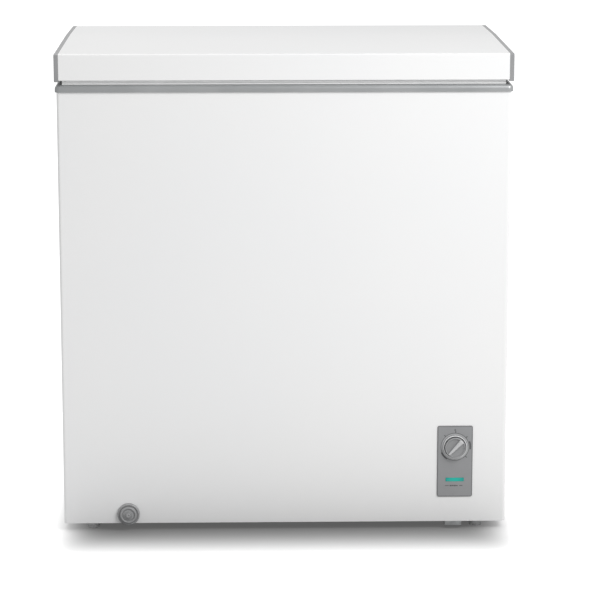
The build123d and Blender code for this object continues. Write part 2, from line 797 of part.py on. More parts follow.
def make_base_plate():
    """Pan that ties the case's lower edges together and carries the compressor."""
    x0, x1 = room_x + 3, case_x - sheet - 3
    y0, y1 = case_front + bottom_flange / 2, case_rear - sheet
    pan = block(x0, x1, y0, y1, base_top - base_plate, base_top)
    for x in (room_x + bottom_flange + 2, case_x - bottom_flange - 2 - base_plate):
        pan += block(x, x + base_plate, y0 + base_tongue_length, y1 - 6, base_top, base_top + base_upstand)
    middle = compressor_x
    half = base_tongue_width / 2
    low = base_top - base_plate - base_tongue_drop
    tongue = block(middle - half, middle + half, case_front + 1.5, y0 + base_tongue_length, low, base_top)
    tongue -= block(middle - half + base_plate, middle + half - base_plate, case_front + 1.5 + base_plate,
                    y0 + base_tongue_length + 1, low - 1, base_top - base_plate)
    pan += tongue
    for x, y in mount_places():
        pan -= disc_z(x, y, base_top - 3, base_top + 1, stud_radius + fit)
    for x, y in foot_places()[2:]:
        pan -= disc_z(x, y, base_top - 3, base_top + 1, foot_stem_radius + fit)
    return pan


def mount_places():
    """Centres of the compressor's four rubber mounts."""
    dx = bracket_width / 2 - bracket_inset
    dy = bracket_length / 2 - bracket_inset
    return [(compressor_x + sx * dx, compressor_y + sy * dy) for sx in (-1, 1) for sy in (-1, 1)]


def shell_plan(grow):
    """The compressor shell seen from above."""
    return Pos(compressor_x, compressor_y) * RectangleRounded(
        compressor_width + 2 * grow, compressor_length + 2 * grow, compressor_side_radius + grow)


def make_compressor_shell():
    """Two welded domes with the seam between them."""
    shell = upright(shell_plan(0), shell_bottom, shell_top)
    shell = fillet(upper_edges(shell), compressor_dome)
    shell = fillet(lower_edges(shell), compressor_dome / 3)
    seam = shell_bottom + 0.55 * compressor_height
    return shell + fillet(upper_edges(upright(shell_plan(seam_lip), seam, seam + seam_height)), 1.0)


def make_compressor_bracket():
    """Foot plate welded under the shell, bent up round it."""
    half_w, half_l = bracket_width / 2, bracket_length / 2
    low = base_top + grommet_height
    plate = upright(plan(compressor_x - half_w, compressor_x + half_w, compressor_y - half_l,
                         compressor_y + half_l, 12), low, low + bracket_plate)
    for side in (-1, 1):
        y = compressor_y + side * (compressor_length / 2 + bracket_plate)
        half = half_w - 2 * bracket_inset - grommet_radius
        plate += block(compressor_x - half, compressor_x + half, y - bracket_plate / 2, y + bracket_plate / 2,
                       low + bracket_plate, low + bracket_plate + bracket_upstand)
    plate += block(compressor_x - 30, compressor_x + 30, compressor_y - 40, compressor_y + 40,
                   low + bracket_plate, shell_bottom)
    for x, y in mount_places():
        plate -= disc_z(x, y, low - 1, low + 9, grommet_waist + fit)
    return plate


def make_grommet(x, y):
    """Rubber mount held in the bracket by its waist."""
    low = base_top + grommet_height
    rubber = disc_z(x, y, base_top, low, grommet_radius) + disc_z(x, y, low, low + bracket_plate, grommet_waist)
    rubber += disc_z(x, y, low + bracket_plate, low + bracket_plate + grommet_cap, grommet_radius - 1)
    return rubber - disc_z(x, y, base_top - 1, low + 20, stud_radius + fit)


def stud_top():
    return base_top + grommet_height + bracket_plate + grommet_cap + washer_height + nut_height + 2


def make_stud(x, y):
    """Stud through the base plate with its head underneath."""
    low = base_top - base_plate
    return disc_z(x, y, low, stud_top(), stud_radius) + disc_z(x, y, low - 4, low, stud_radius + 3)


def make_nut(x, y):
    low = base_top + grommet_height + bracket_plate + grommet_cap
    nut = disc_z(x, y, low, low + washer_height, nut_radius + 2)
    hexagon = Pos(x, y, low + washer_height) * extrude(RegularPolygon(nut_radius, 6), nut_height)
    return nut + hexagon - disc_z(x, y, low - 1, low + 20, stud_radius + running)


def make_relay_cover():
    """Box over the start relay on the shell's front."""
    rear = compressor_y - compressor_length / 2
    low = base_top + relay_low
    cover = block(compressor_x - relay_width / 2, compressor_x + relay_width / 2,
                  rear - relay_depth, rear, low, low + relay_height)
    front = cover.faces().sort_by(Axis.Y)[0]
    return fillet(front.edges(), 4.0)


# ---------------------------------------------------------------- refrigerant tubes
def roof_holes():
    """X, Y and radius of every tube that passes the compartment's roof."""
    return [(*hot_place(), hot_tube), (*warm_place(), hot_tube), (*cold_place(), cold_tube),
            (*feed_place(), cold_tube), (*sensor_place(), sensor_radius)]


def hot_place():
    return room_x + hot_tube_from_wall, compressor_y - hot_tube_ahead


def warm_place():
    return room_x + drier_from_wall, compressor_y - drier_ahead


def cold_place():
    return room_x + cold_tube_from_wall, compressor_y + cold_tube_behind


def feed_place():
    return case_x - feed_from_case, compressor_y - feed_ahead


def sensor_place():
    return panel_x, case_front + sensor_behind


def make_discharge_tube():
    """Hot gas tube from the shell's top to the compartment's roof."""
    x, y = hot_place()
    sx, sy = compressor_x - discharge_left, compressor_y - discharge_ahead
    lift = shell_top + discharge_rise
    return pipe([(sx, sy, shell_top), (sx, sy, lift), (x, y, lift + discharge_slope), (x, y, room_top)],
                hot_tube, tube_bend)


def make_suction_tube():
    """Wide cold tube from the compartment's roof back to the shell."""
    x, y = cold_place()
    ex, ey = compressor_x + suction_right, compressor_y + suction_behind
    lift = shell_top + suction_rise
    return pipe([(x, y, room_top), (x, y, lift + suction_slope), (ex, ey, lift), (ex, ey, shell_top)],
                cold_tube, tube_bend)


def make_process_tube():
    """Filling stub, pinched shut at its end."""
    x, y = compressor_x + process_right, compressor_y - process_ahead
    top = shell_top + process_height
    stub = disc_z(x, y, shell_top, top - pinch_height, cold_tube - process_neck)
    half = pinch_thickness / 2
    return stub + block(x - cold_tube, x + cold_tube, y - half, y + half, top - pinch_height - half, top)


def drier_span():
    """Lower and upper end of the filter drier."""
    top = room_top - drier_below_roof
    return top - drier_length, top


def make_filter_drier():
    """Copper cartridge with tapered ends and a stub at each end."""
    x, y = warm_place()
    low, top = drier_span()
    end = hot_tube + drier_stub
    body = disc_z(x, y, low + drier_taper, top - drier_taper, drier_radius)
    body += Pos(x, y, low + drier_taper / 2) * Cone(end, drier_radius, drier_taper)
    body += Pos(x, y, top - drier_taper / 2) * Cone(drier_radius, end, drier_taper)
    return body + disc_z(x, y, top, room_top, hot_tube)


def make_capillary_tube():
    """Thin tube from the drier to the evaporator's feed."""
    x, y = warm_place()
    fx, fy = feed_place()
    low = drier_span()[0]
    loop = low - capillary_drop
    return pipe([(x, y, low), (x, y, loop), (x + capillary_step_x, y - capillary_step_y, loop),
                 (x + capillary_far_x, fy - capillary_far_y, low + capillary_rise),
                 (fx, fy, low + capillary_end_rise), (fx, fy, room_top)], capillary, thin_tube_bend)


def make_condenser_coil():
    """Hot tube taped inside the case: round the sides and the front, row over row, then back down."""
    gap = sheet + hot_tube + fit
    side, front = case_x - gap, case_front + gap
    turn, drop = case_rear - condenser_turn, case_rear - condenser_drop
    x, y = hot_place()
    level = room_top + condenser_first
    points = [(x, y, room_top), (x, y, level), (side, y, level)]
    near = side
    rows = int((case_top - condenser_top_gap - level) / condenser_pitch)
    for row in range(rows):
        z = level + (row + 1) * condenser_pitch
        points += [(near, turn, z - condenser_pitch), (near, turn, z)] if row else [(side, turn, z)]
        points += [(near, front, z), (-near, front, z)]
        near = -near
    x, y = warm_place()
    under = level - condenser_back
    points += [(near, drop, z), (near, drop, under), (x, drop, under), (x, y, under), (x, y, room_top)]
    return pipe(points, hot_tube, thin_tube_bend)


def make_evaporator_coil():
    """Cold tube wound round the liner from the top down, narrower beside the compartment."""
    gap = liner_sheet + cold_tube + fit
    left, front, rear = -well_x - gap, well_front - gap, well_rear + gap
    x, y = feed_place()
    top = case_top - evaporator_top_gap
    right = well_x + gap
    points = [(x, y, room_top), (x, y, top), (right, y + evaporator_entry, top), (right, rear, top), (left, rear, top)]
    low = well_floor + evaporator_bottom_gap
    turns = int((top - low) / evaporator_pitch)
    for turn in range(1, turns + 1):
        z = top - turn * evaporator_pitch
        beside = hump_x + gap if z < hump_top + gap else right
        points += [(left, front, z), (beside, front, z), (beside, rear, z), (left, rear, z)]
    z = points[-1][2] - evaporator_tail
    y = rear + evaporator_tail_y
    points += [(left + evaporator_tail_x, y, z), (room_x - sheet - evaporator_tail_end, y, z)]
    return pipe(points, cold_tube, evaporator_bend)


def make_sensor_tube():
    """Thermostat's sensing tube, up through the roof to the liner's step."""
    x, y = sensor_place()
    top = knob_z + thermostat_side / 2
    foot = case_front + panel_plate + thermostat_depth / 2
    bend = top + sensor_rise
    return pipe([(x, foot, top), (x, foot, bend), (x, y, bend + sensor_slope), (x, y, hump_top - liner_sheet)],
                sensor_radius, thin_tube_bend)


# ---------------------------------------------------------------- controls
def make_control_bezel():
    """Framed plate in the case's lower right corner, with a sleeve behind it."""
    z = panel_top - panel_height / 2
    front = case_front - panel_proud
    bezel = face_panel(panel_x, z, panel_width, panel_height, front, case_front, panel_corner)
    bezel = fillet(bezel.faces().sort_by(Axis.Y)[0].edges(), 1.0)
    sleeve_w, sleeve_h = panel_width - 2 * panel_rim, panel_height - 2 * panel_rim
    bezel += face_panel(panel_x, z, sleeve_w, sleeve_h, case_front, case_front + panel_sleeve, panel_corner)
    bezel -= face_panel(panel_x, z, sleeve_w - 4, sleeve_h - 4, front + panel_plate,
                        case_front + panel_sleeve + 1, panel_corner - 2)
    bezel -= disc_y(panel_x, knob_z, front - 1, front + panel_plate + 1, bushing_radius + fit)
    return bezel - face_panel(panel_x, lens_z, lens_width + 2 * fit, lens_height + 2 * fit, front - 1,
                              front + panel_plate + 1, 1.2)


def make_control_box():
    """Housing behind the bezel for the thermostat and its wiring."""
    z = panel_top - panel_height / 2
    width, height = panel_width - 2 * panel_rim - 6, panel_height - 2 * panel_rim - 6
    front = case_front + panel_plate - panel_proud
    box = face_panel(panel_x, z, width, height, front, front + box_depth, 4)
    box -= face_panel(panel_x, z, width - 2 * box_wall, height - 2 * box_wall, front - 1,
                      front + box_depth - box_wall, 2)
    foot = case_front + panel_plate + thermostat_depth / 2
    box -= disc_z(panel_x, foot, panel_top - 20, panel_top, sensor_radius + 1)
    return box - disc_y(panel_x, z - lead_below, front, front + box_depth + 1, lead_radius + fit)


def make_thermostat_body():
    """Metal can with the bushing that the spindle turns in."""
    front = case_front - panel_proud + panel_plate
    half = thermostat_side / 2
    body = block(panel_x - half, panel_x + half, front, front + thermostat_depth, knob_z - half, knob_z + half)
    body = fillet(body.edges().filter_by(Axis.Y), 3.0)
    body += disc_y(panel_x, knob_z, case_front - panel_proud, front, bushing_radius)
    return body - disc_y(panel_x, knob_z, case_front - 6, front + 12 + soft_gap, spindle_radius + running)


def make_thermostat_spindle():
    front = case_front - panel_proud
    return disc_y(panel_x, knob_z, front - knob_gap - knob_base, front + panel_plate + 12, spindle_radius)


def make_thermostat_knob():
    """Round knob with a bevelled crown and a raised bar that points to the setting."""
    rear = case_front - panel_proud - knob_gap
    front = rear - knob_base
    knob = fillet(disc_y(panel_x, knob_z, front, rear, knob_radius).edges().sort_by(Axis.Y)[0], 1.2)
    crown = disc_y(panel_x, knob_z, front - knob_crown, front, knob_crown_radius)
    crown = chamfer(crown.edges().sort_by(Axis.Y)[0], 2.2)
    bar = Pos(panel_x, 0, knob_z) * Rot(0, knob_bar_angle, 0) * block(
        -knob_bar_width / 2, knob_bar_width / 2, front - knob_crown - knob_bar_height, front - knob_crown,
        -knob_crown_radius + 3, knob_crown_radius - 1.5)
    bar = fillet(bar.faces().sort_by(Axis.Y)[0].edges(), 1.4)
    return knob + crown + bar - disc_y(panel_x, knob_z, front, rear + 1, spindle_radius)


def make_indicator_lens():
    front = case_front - panel_proud
    lens = face_panel(panel_x, lens_z, lens_width, lens_height, front - lens_proud, front + panel_plate, 1.0)
    flange = face_panel(panel_x, lens_z, lens_width + 6, lens_height + 6, front + panel_plate,
                        front + panel_plate + 1.5, 1.5)
    return lens + flange


def make_indicator_lamp():
    front = case_front - panel_proud + panel_plate + 1.5
    lamp = disc_y(panel_x, lens_z, front, front + lamp_length, lamp_radius)
    return lamp + block(panel_x - 14, panel_x + 14, front, front + 3, lens_z - 5, lens_z + 5)


def make_compressor_lead():
    """Lead from the control box to the compressor's relay."""
    z = panel_top - panel_height / 2 - lead_below
    start = case_front + panel_plate - panel_proud + box_depth - box_wall
    end = compressor_y - compressor_length / 2 - relay_depth
    third = (end - start) / 3
    height = base_top + relay_low + lead_at_relay
    return pipe([(panel_x, start, z), (panel_x, start + 0.7 * third, z),
                 (panel_x - lead_left, start + 1.7 * third, z - lead_dip),
                 (compressor_x, end - 0.5 * third, height), (compressor_x, end, height)],
                lead_radius, lead_bend)


# ---------------------------------------------------------------- drain
def make_drain_collar():
    """Fixed ring on the case's front, with a sleeve that guides the spout."""
    front = case_front - drain_flange
    rear = case_front + sheet + drain_sleeve_length
    collar = disc_y(drain_x, drain_z, front, case_front, drain_flange_radius)
    collar = fillet(collar.edges().sort_by(Axis.Y)[0], 1.8)
    collar += disc_y(drain_x, drain_z, case_front, rear, drain_sleeve_radius)
    collar -= disc_y(drain_x, drain_z, front - 1, front + drain_recess, dial_radius + soft_gap)
    collar -= disc_y(drain_x, drain_z, front, rear - drain_sleeve_end, spout_radius + running)
    return collar - disc_y(drain_x, drain_z, front, rear + 1, spout_bore)


def make_drain_spout():
    """Tube that pulls out of the collar."""
    front = case_front - drain_flange + drain_recess
    rear = case_front + sheet + drain_sleeve_length - drain_sleeve_end - soft_gap
    spout = disc_y(drain_x, drain_z, front, rear, spout_radius)
    return spout - disc_y(drain_x, drain_z, front - 1, rear + 1, spout_bore)


def make_drain_dial():
    """Cap that turns on the spout; the water leaves through a notch in its rim."""
    rear = case_front - drain_flange + drain_recess - fit
    front = rear - dial_thickness
    dial = disc_y(drain_x, drain_z, front, rear, dial_radius)
    dial = fillet(dial.edges().sort_by(Axis.Y)[0], 1.5)
    groove = disc_y(drain_x, drain_z, front - 1, front + 1.5, dial_radius - 4)
    dial -= groove - disc_y(drain_x, drain_z, front - 2, front + 2, dial_button_radius + 1.5)
    dial += fillet(disc_y(drain_x, drain_z, front - dial_button, front + 1, dial_button_radius)
                   .edges().sort_by(Axis.Y)[0], 1.0)
    dial += disc_y(drain_x, drain_z, rear, rear + dial_spigot, spout_bore - running)
    dial -= disc_y(drain_x, drain_z, rear - 3, rear + dial_spigot + 1, spout_bore - 2)
    return dial - block(drain_x - 3, drain_x + 3, rear - 3, rear + 0.01, drain_z + 4, drain_z + dial_radius + 1)


def drain_route():
    """Corner points from the collar's rear to the underside of the well's floor."""
    start = (drain_x, case_front + sheet + drain_sleeve_length, drain_z)
    return [start, (drain_x, drain_y, drain_z), (drain_x, drain_y, well_floor - liner_sheet)]


def make_drain_pipe():
    """Bent pipe from the well's floor to the collar's rear."""
    return pipe(drain_route(), spout_bore + drain_pipe_wall, drain_pipe_bend, spout_bore)


def make_drain_stopper():
    """Rubber plug in the well's floor outlet."""
    floor = well_floor
    plug = disc_z(drain_x, drain_y, floor, floor + stopper_flange, stopper_flange_radius)
    plug = fillet(upper_edges(plug), 1.5)
    plug += disc_z(drain_x, drain_y, floor - stopper_shank, floor, spout_bore - soft_gap)
    grip_top = floor + stopper_flange + stopper_grip
    return plug + fillet(upper_edges(disc_z(drain_x, drain_y, floor + stopper_flange, grip_top,
                                            stopper_grip_radius)), 1.5)


# ---------------------------------------------------------------- storage basket
def make_basket():
    """Wire basket: rings, upright wires and floor wires, hung by two bars on the mouth's ledge."""
    r = basket_wire / 2
    end = mouth_x - ledge_width - basket_end_gap
    x0, x1 = end - basket_width + r, end - r
    y0 = mouth_front + ledge_width + basket_side_gap
    y1 = mouth_rear - ledge_width - basket_side_gap
    top = ledge_top + r
    bottom = top - basket_height
    wires = []

    def bar_x(y, z, a, b):
        wires.append(disc_x(y, z, a, b, r))

    def bar_y(x, z, a, b):
        wires.append(disc_y(x, z, a, b, r))

    def bar_z(x, y, a, b):
        wires.append(disc_z(x, y, a, b, r))

    for ring in range(basket_rings):
        z = top - ring * (basket_height - 3 * r) / basket_rings
        for y in (y0, y1):
            bar_x(y, z, x0 + r, x1 - r)
        for x in (x0, x1):
            bar_y(x, z, y0 - r, y1 + r)
    inner = basket_wire + fit
    gaps = round((x1 - x0 - 2 * inner) / basket_pitch)
    for k in range(gaps + 1):
        x = x0 + inner + k * (x1 - x0 - 2 * inner) / gaps
        for y in (y0 + inner, y1 - inner):
            bar_z(x, y, bottom + r, top)
        bar_y(x, bottom, y0 + inner - r, y1 - inner + r)
    for k in range(basket_long_wires):
        y = y0 + 2 * inner + (k + 0.5) * (y1 - y0 - 4 * inner) / basket_long_wires
        for x in (x0 + inner, x1 - inner):
            bar_z(x, y, bottom + inner + r, top)
        bar_x(y, bottom + inner, x0 + inner - r, x1 - inner + r)
    for x in (x0, x1):
        bar_y(x, top + basket_wire + fit, mouth_front + fit + r, mouth_rear - fit - r)
    for y in (mouth_front + ledge_width / 2, mouth_rear - ledge_width / 2):
        bar_x(y, top, x0 - r, x1 + r)
    return wires


# ---------------------------------------------------------------- writing the parts
def main():
    save("outer_case", make_outer_case())
    save("rear_panel", make_rear_panel())
    save("bottom_panel", make_bottom_panel())
    save("inner_liner", make_inner_liner())
    save("cabinet_foam", make_cabinet_foam())
    save("room_partition", make_room_partition())
    save("top_frame", make_top_frame())
    save("feet", *make_feet())
    save("lid_skin", make_lid_skin())
    save("lid_end_cap_left", make_end_cap(-1))
    save("lid_end_cap_right", make_end_cap(1))
    save("lid_liner", make_lid_liner())
    save("lid_foam", make_lid_foam())
    save("lid_gasket", make_gasket())
    for side, x in (("left", -hinge_x), ("right", hinge_x)):
        save(f"hinge_body_{side}", make_hinge_body(x))
        save(f"hinge_leaf_{side}", make_hinge_leaf(x))
        save(f"hinge_pin_{side}", make_hinge_pin(x))
        save(f"hinge_spring_{side}", make_hinge_spring(x))
        save(f"hinge_cover_{side}", make_hinge_cover(x))
    save("hinge_screws", *[screw_y(x, z, case_rear + hinge_plate) for x, z in hinge_screw_places()])
    save("leaf_screws", *[screw_y(x, z, lid_rear + hinge_plate) for x, z in leaf_screw_places()])
    save("service_cover", make_service_cover())
    save("cover_screws", *[screw_y(x, z, case_rear + cover_sheet, 8) for x, z in cover_screw_places()])
    save("cord_inlet", make_cord_inlet())
    save("side_grille", make_side_grille())
    save("base_plate", make_base_plate())
    save("compressor_shell", make_compressor_shell())
    save("compressor_bracket", make_compressor_bracket())
    save("compressor_grommets", *[make_grommet(x, y) for x, y in mount_places()])
    save("compressor_studs", *[make_stud(x, y) for x, y in mount_places()])
    save("compressor_nuts", *[make_nut(x, y) for x, y in mount_places()])
    save("relay_cover", make_relay_cover())
    save("discharge_tube", make_discharge_tube())
    save("suction_tube", make_suction_tube())
    save("process_tube", make_process_tube())
    save("filter_drier", make_filter_drier())
    save("capillary_tube", make_capillary_tube())
    save("condenser_coil", make_condenser_coil())
    save("evaporator_coil", make_evaporator_coil())
    save("sensor_tube", make_sensor_tube())
    save("control_bezel", make_control_bezel())
    save("control_box", make_control_box())
    save("thermostat_body", make_thermostat_body())
    save("thermostat_spindle", make_thermostat_spindle())
    save("thermostat_knob", make_thermostat_knob())
    save("indicator_lens", make_indicator_lens())
    save("indicator_lamp", make_indicator_lamp())
    save("compressor_lead", make_compressor_lead())
    save("drain_collar", make_drain_collar())
    save("drain_spout", make_drain_spout())
    save("drain_dial", make_drain_dial())
    save("drain_pipe", make_drain_pipe())
    save("drain_stopper", make_drain_stopper())
    save("storage_basket", *make_basket())


main()
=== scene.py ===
# %% [markdown]
# # A chest freezer, dressed in cells
# The freezer's solids come ready made: the case, the lid, the hinges and the machinery are loaded as a
# fixed frame. What is left to do here is what a finisher does: paint, plate, mould and print each
# surface, turn the knob, extrude the seal, and light the result like a shop picture. Lengths are in
# metres, apart from the profiles of knob and seal, which are in millimetres.

# %% Load the frame
import json
import math

import bmesh
import bpy
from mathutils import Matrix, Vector


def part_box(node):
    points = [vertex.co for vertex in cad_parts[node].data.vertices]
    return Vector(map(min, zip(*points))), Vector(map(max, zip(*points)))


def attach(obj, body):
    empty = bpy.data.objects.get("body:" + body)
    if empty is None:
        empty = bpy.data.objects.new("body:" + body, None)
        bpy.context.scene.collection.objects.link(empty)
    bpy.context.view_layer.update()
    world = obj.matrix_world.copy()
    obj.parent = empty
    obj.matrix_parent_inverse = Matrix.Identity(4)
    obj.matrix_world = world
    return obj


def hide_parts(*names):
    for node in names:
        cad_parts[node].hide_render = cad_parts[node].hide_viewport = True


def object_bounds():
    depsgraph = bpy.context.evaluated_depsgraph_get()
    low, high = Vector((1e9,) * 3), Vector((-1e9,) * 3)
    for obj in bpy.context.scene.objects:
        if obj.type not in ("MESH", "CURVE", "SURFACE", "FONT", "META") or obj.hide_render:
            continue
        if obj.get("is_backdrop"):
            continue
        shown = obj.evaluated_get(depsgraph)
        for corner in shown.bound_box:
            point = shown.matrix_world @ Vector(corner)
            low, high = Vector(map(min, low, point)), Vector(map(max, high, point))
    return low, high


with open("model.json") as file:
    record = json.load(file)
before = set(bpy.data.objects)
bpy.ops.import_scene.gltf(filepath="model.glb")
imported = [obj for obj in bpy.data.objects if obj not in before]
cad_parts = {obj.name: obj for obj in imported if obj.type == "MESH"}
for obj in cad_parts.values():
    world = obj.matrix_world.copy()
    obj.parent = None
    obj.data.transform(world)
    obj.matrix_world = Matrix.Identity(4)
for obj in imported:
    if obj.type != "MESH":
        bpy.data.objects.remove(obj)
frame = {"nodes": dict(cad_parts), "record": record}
nodes = frame["nodes"]
cad_box = [list(corner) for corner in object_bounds()]


# %% [markdown]
# ## Writing shader maths as plain sums
# A material is a small program made of nodes, and wiring them one by one hides what it works out.
# An image could hold the same pattern, but nodes stay sharp at any distance. So one small class wraps
# a socket: adding, multiplying or powering it lays down the Math node, and any other node comes from
# a single method of the tree that it belongs to.

# %% A socket that can be added and multiplied
class Val:
    """A number that varies over the surface."""

    def __init__(self, finish, socket):
        self.finish, self.socket = finish, socket

    def sum(self, operation, *values, clamp=False):
        """Lays down one Math node and wraps what it gives."""
        node = self.finish.node("ShaderNodeMath", {"operation": operation, "use_clamp": clamp}, values)
        return Val(self.finish, node.outputs[0])

    def __add__(self, other):
        return self.sum("ADD", self, other)

    def __radd__(self, other):
        return self.sum("ADD", other, self)

    def __sub__(self, other):
        return self.sum("SUBTRACT", self, other)

    def __rsub__(self, other):
        return self.sum("SUBTRACT", other, self)

    def __mul__(self, other):
        return self.sum("MULTIPLY", self, other)

    def __rmul__(self, other):
        return self.sum("MULTIPLY", other, self)

    def __pow__(self, other):
        return self.sum("POWER", self, other)

    def larger(self, other, ease=0.0):
        """The larger of two, with the crease between them eased over a length."""
        return self.sum("SMOOTH_MAX", self, other, ease)

    def held(self):
        """Kept between 0 and 1."""
        return self.sum("ADD", self, 0.0, clamp=True)

    def step(self, low, high):
        """0 below low, 1 above high, smooth between."""
        node = self.finish.node("ShaderNodeMapRange", {"interpolation_type": "SMOOTHSTEP"},
                                (self, low, high, 0.0, 1.0))
        return Val(self.finish, node.outputs["Result"])

    def ripple(self, pitch):
        """1 at every whole number of pitches, -1 half way between."""
        return self.sum("COSINE", self * (math.tau / pitch))


# %% Adding a node to a tree
class NodeTree:
    """A tree of nodes with the one method that adds to it."""

    def __init__(self, tree):
        self.tree = tree

    def node(self, kind, settings=(), values=()):
        """Adds any node: its settings first, then its inputs in order or by name."""
        node = self.tree.nodes.new(kind)
        for key, value in dict(settings).items():
            setattr(node, key, value)
        pairs = values.items() if isinstance(values, dict) else enumerate(values)
        for key, value in pairs:
            self.feed(node.inputs[key], value)
        return node

    def feed(self, socket, value):
        """Gives a socket a link where the value comes from a node, and a constant otherwise."""
        if isinstance(value, Val):
            value = value.socket
        if isinstance(value, bpy.types.NodeSocket):
            self.tree.links.new(value, socket)
        else:
            socket.default_value = value


# %% A finish: one material and the patterns that shape it
# Where the colour kind of the Mix node has its factor, its two colours and its result
MIX_FACTOR, MIX_FIRST, MIX_SECOND, MIX_RESULT = 0, 6, 7, 2


class Finish(NodeTree):
    """A material whose Principled shader takes its sockets from sums and patterns."""

    def __init__(self, name, base, rough, **constants):
        self.material = bpy.data.materials.new(name)
        self.material.use_nodes = True
        super().__init__(self.material.node_tree)
        self.shader = self.tree.nodes["Principled BSDF"]
        self.material.diffuse_color = (*base, 1.0)
        self.set("Base Color", (*base, 1.0))
        self.set("Roughness", rough)
        for socket, value in constants.items():
            self.set(socket.replace("_", " "), value)

    def set(self, socket, value):
        self.feed(self.shader.inputs[socket], value)

    def place(self):
        """The point on the surface, in metres, the same at every pose."""
        return self.node("ShaderNodeTexCoord").outputs["Object"]

    def axis(self, letter):
        """One coordinate of that point."""
        split = self.node("ShaderNodeSeparateXYZ", (), (self.place(),))
        return Val(self, split.outputs[letter])

    def noise(self, scale, detail=3.0, rough=0.5, stretch=(1, 1, 1)):
        """Soft random pattern from 0 to 1, scale turns in a metre."""
        spread = self.node("ShaderNodeVectorMath", {"operation": "MULTIPLY"}, (self.place(), stretch))
        inputs = {"Vector": spread.outputs[0], "Scale": scale, "Detail": detail, "Roughness": rough}
        node = self.node("ShaderNodeTexNoise", {"noise_dimensions": "3D"}, inputs)
        return Val(self, node.outputs["Fac"])

    def cells(self, scale, feature="F1", output="Distance"):
        """Cell pattern, scale cells in a metre: the distance to a cell's middle, or its own colour."""
        inputs = {"Vector": self.place(), "Scale": scale}
        node = self.node("ShaderNodeTexVoronoi", {"feature": feature}, inputs)
        return Val(self, node.outputs[output])

    def blend(self, mask, first, second):
        """One colour turning into another as the mask goes from 0 to 1."""
        node = self.node("ShaderNodeMix", {"data_type": "RGBA"})
        self.feed(node.inputs[MIX_FACTOR], mask)
        for index, colour in ((MIX_FIRST, first), (MIX_SECOND, second)):
            is_link = isinstance(colour, bpy.types.NodeSocket)
            self.feed(node.inputs[index], colour if is_link else (*colour, 1.0))
        return node.outputs[MIX_RESULT]

    def relief(self, height, depth, strength):
        """Raises the surface by a pattern, depth metres high."""
        bump = self.node("ShaderNodeBump", (), {"Height": height, "Distance": depth, "Strength": strength})
        self.set("Normal", bump.outputs[0])


def scaled(colour, factor):
    """A darker or paler shade of a colour, never above full white."""
    return tuple(min(1.0, channel * factor) for channel in colour)


print("shader helpers ready")

# %% [markdown]
# ## The painted skin
# Case and lid are pre-painted steel: a bright plain white with a soft gloss. Sheet from a coil coating
# line is never a mirror. It has a faint orange peel a few millimetres across and, over a whole panel,
# a slow unevenness of gloss from rolling and handling. A clear coat on top would be too wet, so the
# paint itself carries the gloss, and two noises of very different scale carry the life.

# %% White coil-coated steel
PAINT_WHITE = (0.820, 0.823, 0.826)
PAINT_WARM = (0.830, 0.830, 0.828)
PAINT_ROUGH = 0.34
GLOSS_SWING = 0.07
PEEL_DEPTH = 0.00006


def coated_steel(name, base, warm, rough):
    """Pre-painted sheet with orange peel and slow changes of gloss."""
    paint = Finish(name, base, rough, Specular_IOR_Level=0.45)
    drift = paint.noise(scale=2.3, detail=2.0)
    peel = paint.noise(scale=420.0, detail=2.0, rough=0.4)
    rub = paint.noise(scale=9.0, detail=4.0, rough=0.6)
    paint.set("Base Color", paint.blend(drift.step(0.3, 0.7), base, warm))
    paint.set("Roughness", (rough - GLOSS_SWING / 2) + GLOSS_SWING * rub)
    paint.relief(peel, PEEL_DEPTH, strength=0.35)
    return paint.material


white_paint = coated_steel("white_coated_steel", PAINT_WHITE, PAINT_WARM, PAINT_ROUGH)
print("painted:", white_paint.name)

# %% [markdown]
# ## Moulded plastics
# The frame round the mouth, the lid's ends, the grille and the hinge covers are injection moulded.
# A mould for such parts is spark eroded, which leaves a fine even grain, and the colour is right
# through, so scuffs show as a change of gloss rather than of colour. One function makes them all:
# a grain for the relief, a broader noise for the gloss, and a little lightening where hands rub.

# %% A moulded plastic in any colour
GRAIN, GRAIN_DEPTH = 900.0, 0.00003
SCUFF_SWING = 0.1
WORN = (0.35, 0.75)


def spark_grain(plastic, grain=GRAIN, depth=GRAIN_DEPTH):
    """The fine even relief of a spark-eroded mould, so many grains in a metre."""
    plastic.relief(plastic.noise(grain, detail=2.0, rough=0.55), depth, strength=0.5)


def moulded(name, base, rough, grain=GRAIN, depth=GRAIN_DEPTH, lift=0.06, **constants):
    """Through-coloured plastic with spark-eroded grain."""
    plastic = Finish(name, base, rough, **constants)
    cloud = plastic.noise(scale=14.0)
    pale = tuple(min(1.0, c + lift * (1.0 - c)) for c in base)
    plastic.set("Base Color", plastic.blend(cloud.step(*WORN), base, pale))
    plastic.set("Roughness", (rough - SCUFF_SWING / 2) + SCUFF_SWING * cloud)
    spark_grain(plastic, grain, depth)
    return plastic.material


frame_grey = moulded("frame_grey_plastic", (0.36, 0.37, 0.375), 0.36, Metallic=0.45)
cap_grey = moulded("cap_grey_plastic", (0.285, 0.288, 0.293), 0.24, lift=0.04)
white_plastic = moulded("white_moulded_plastic", (0.74, 0.75, 0.755), 0.30, lift=0.10)
foot_plastic = moulded("foot_pale_plastic", (0.80, 0.805, 0.81), 0.50)
black_plastic = moulded("black_plastic", (0.018, 0.018, 0.019), 0.45, lift=0.03)
print("moulded plastics ready")

# %% [markdown]
# ## The panel's dark edge
# The control panel is a moulding of one mid grey, with a thin darker line round its edge, along the
# seam with the case. The line follows the outline, so the distance to the nearest edge of the panel
# decides where it lies; a picture of the line would blur when seen close to.

# %% Panel grey with a darker edge
EDGE_LINE, EDGE_FADE = 0.0014, 0.0005


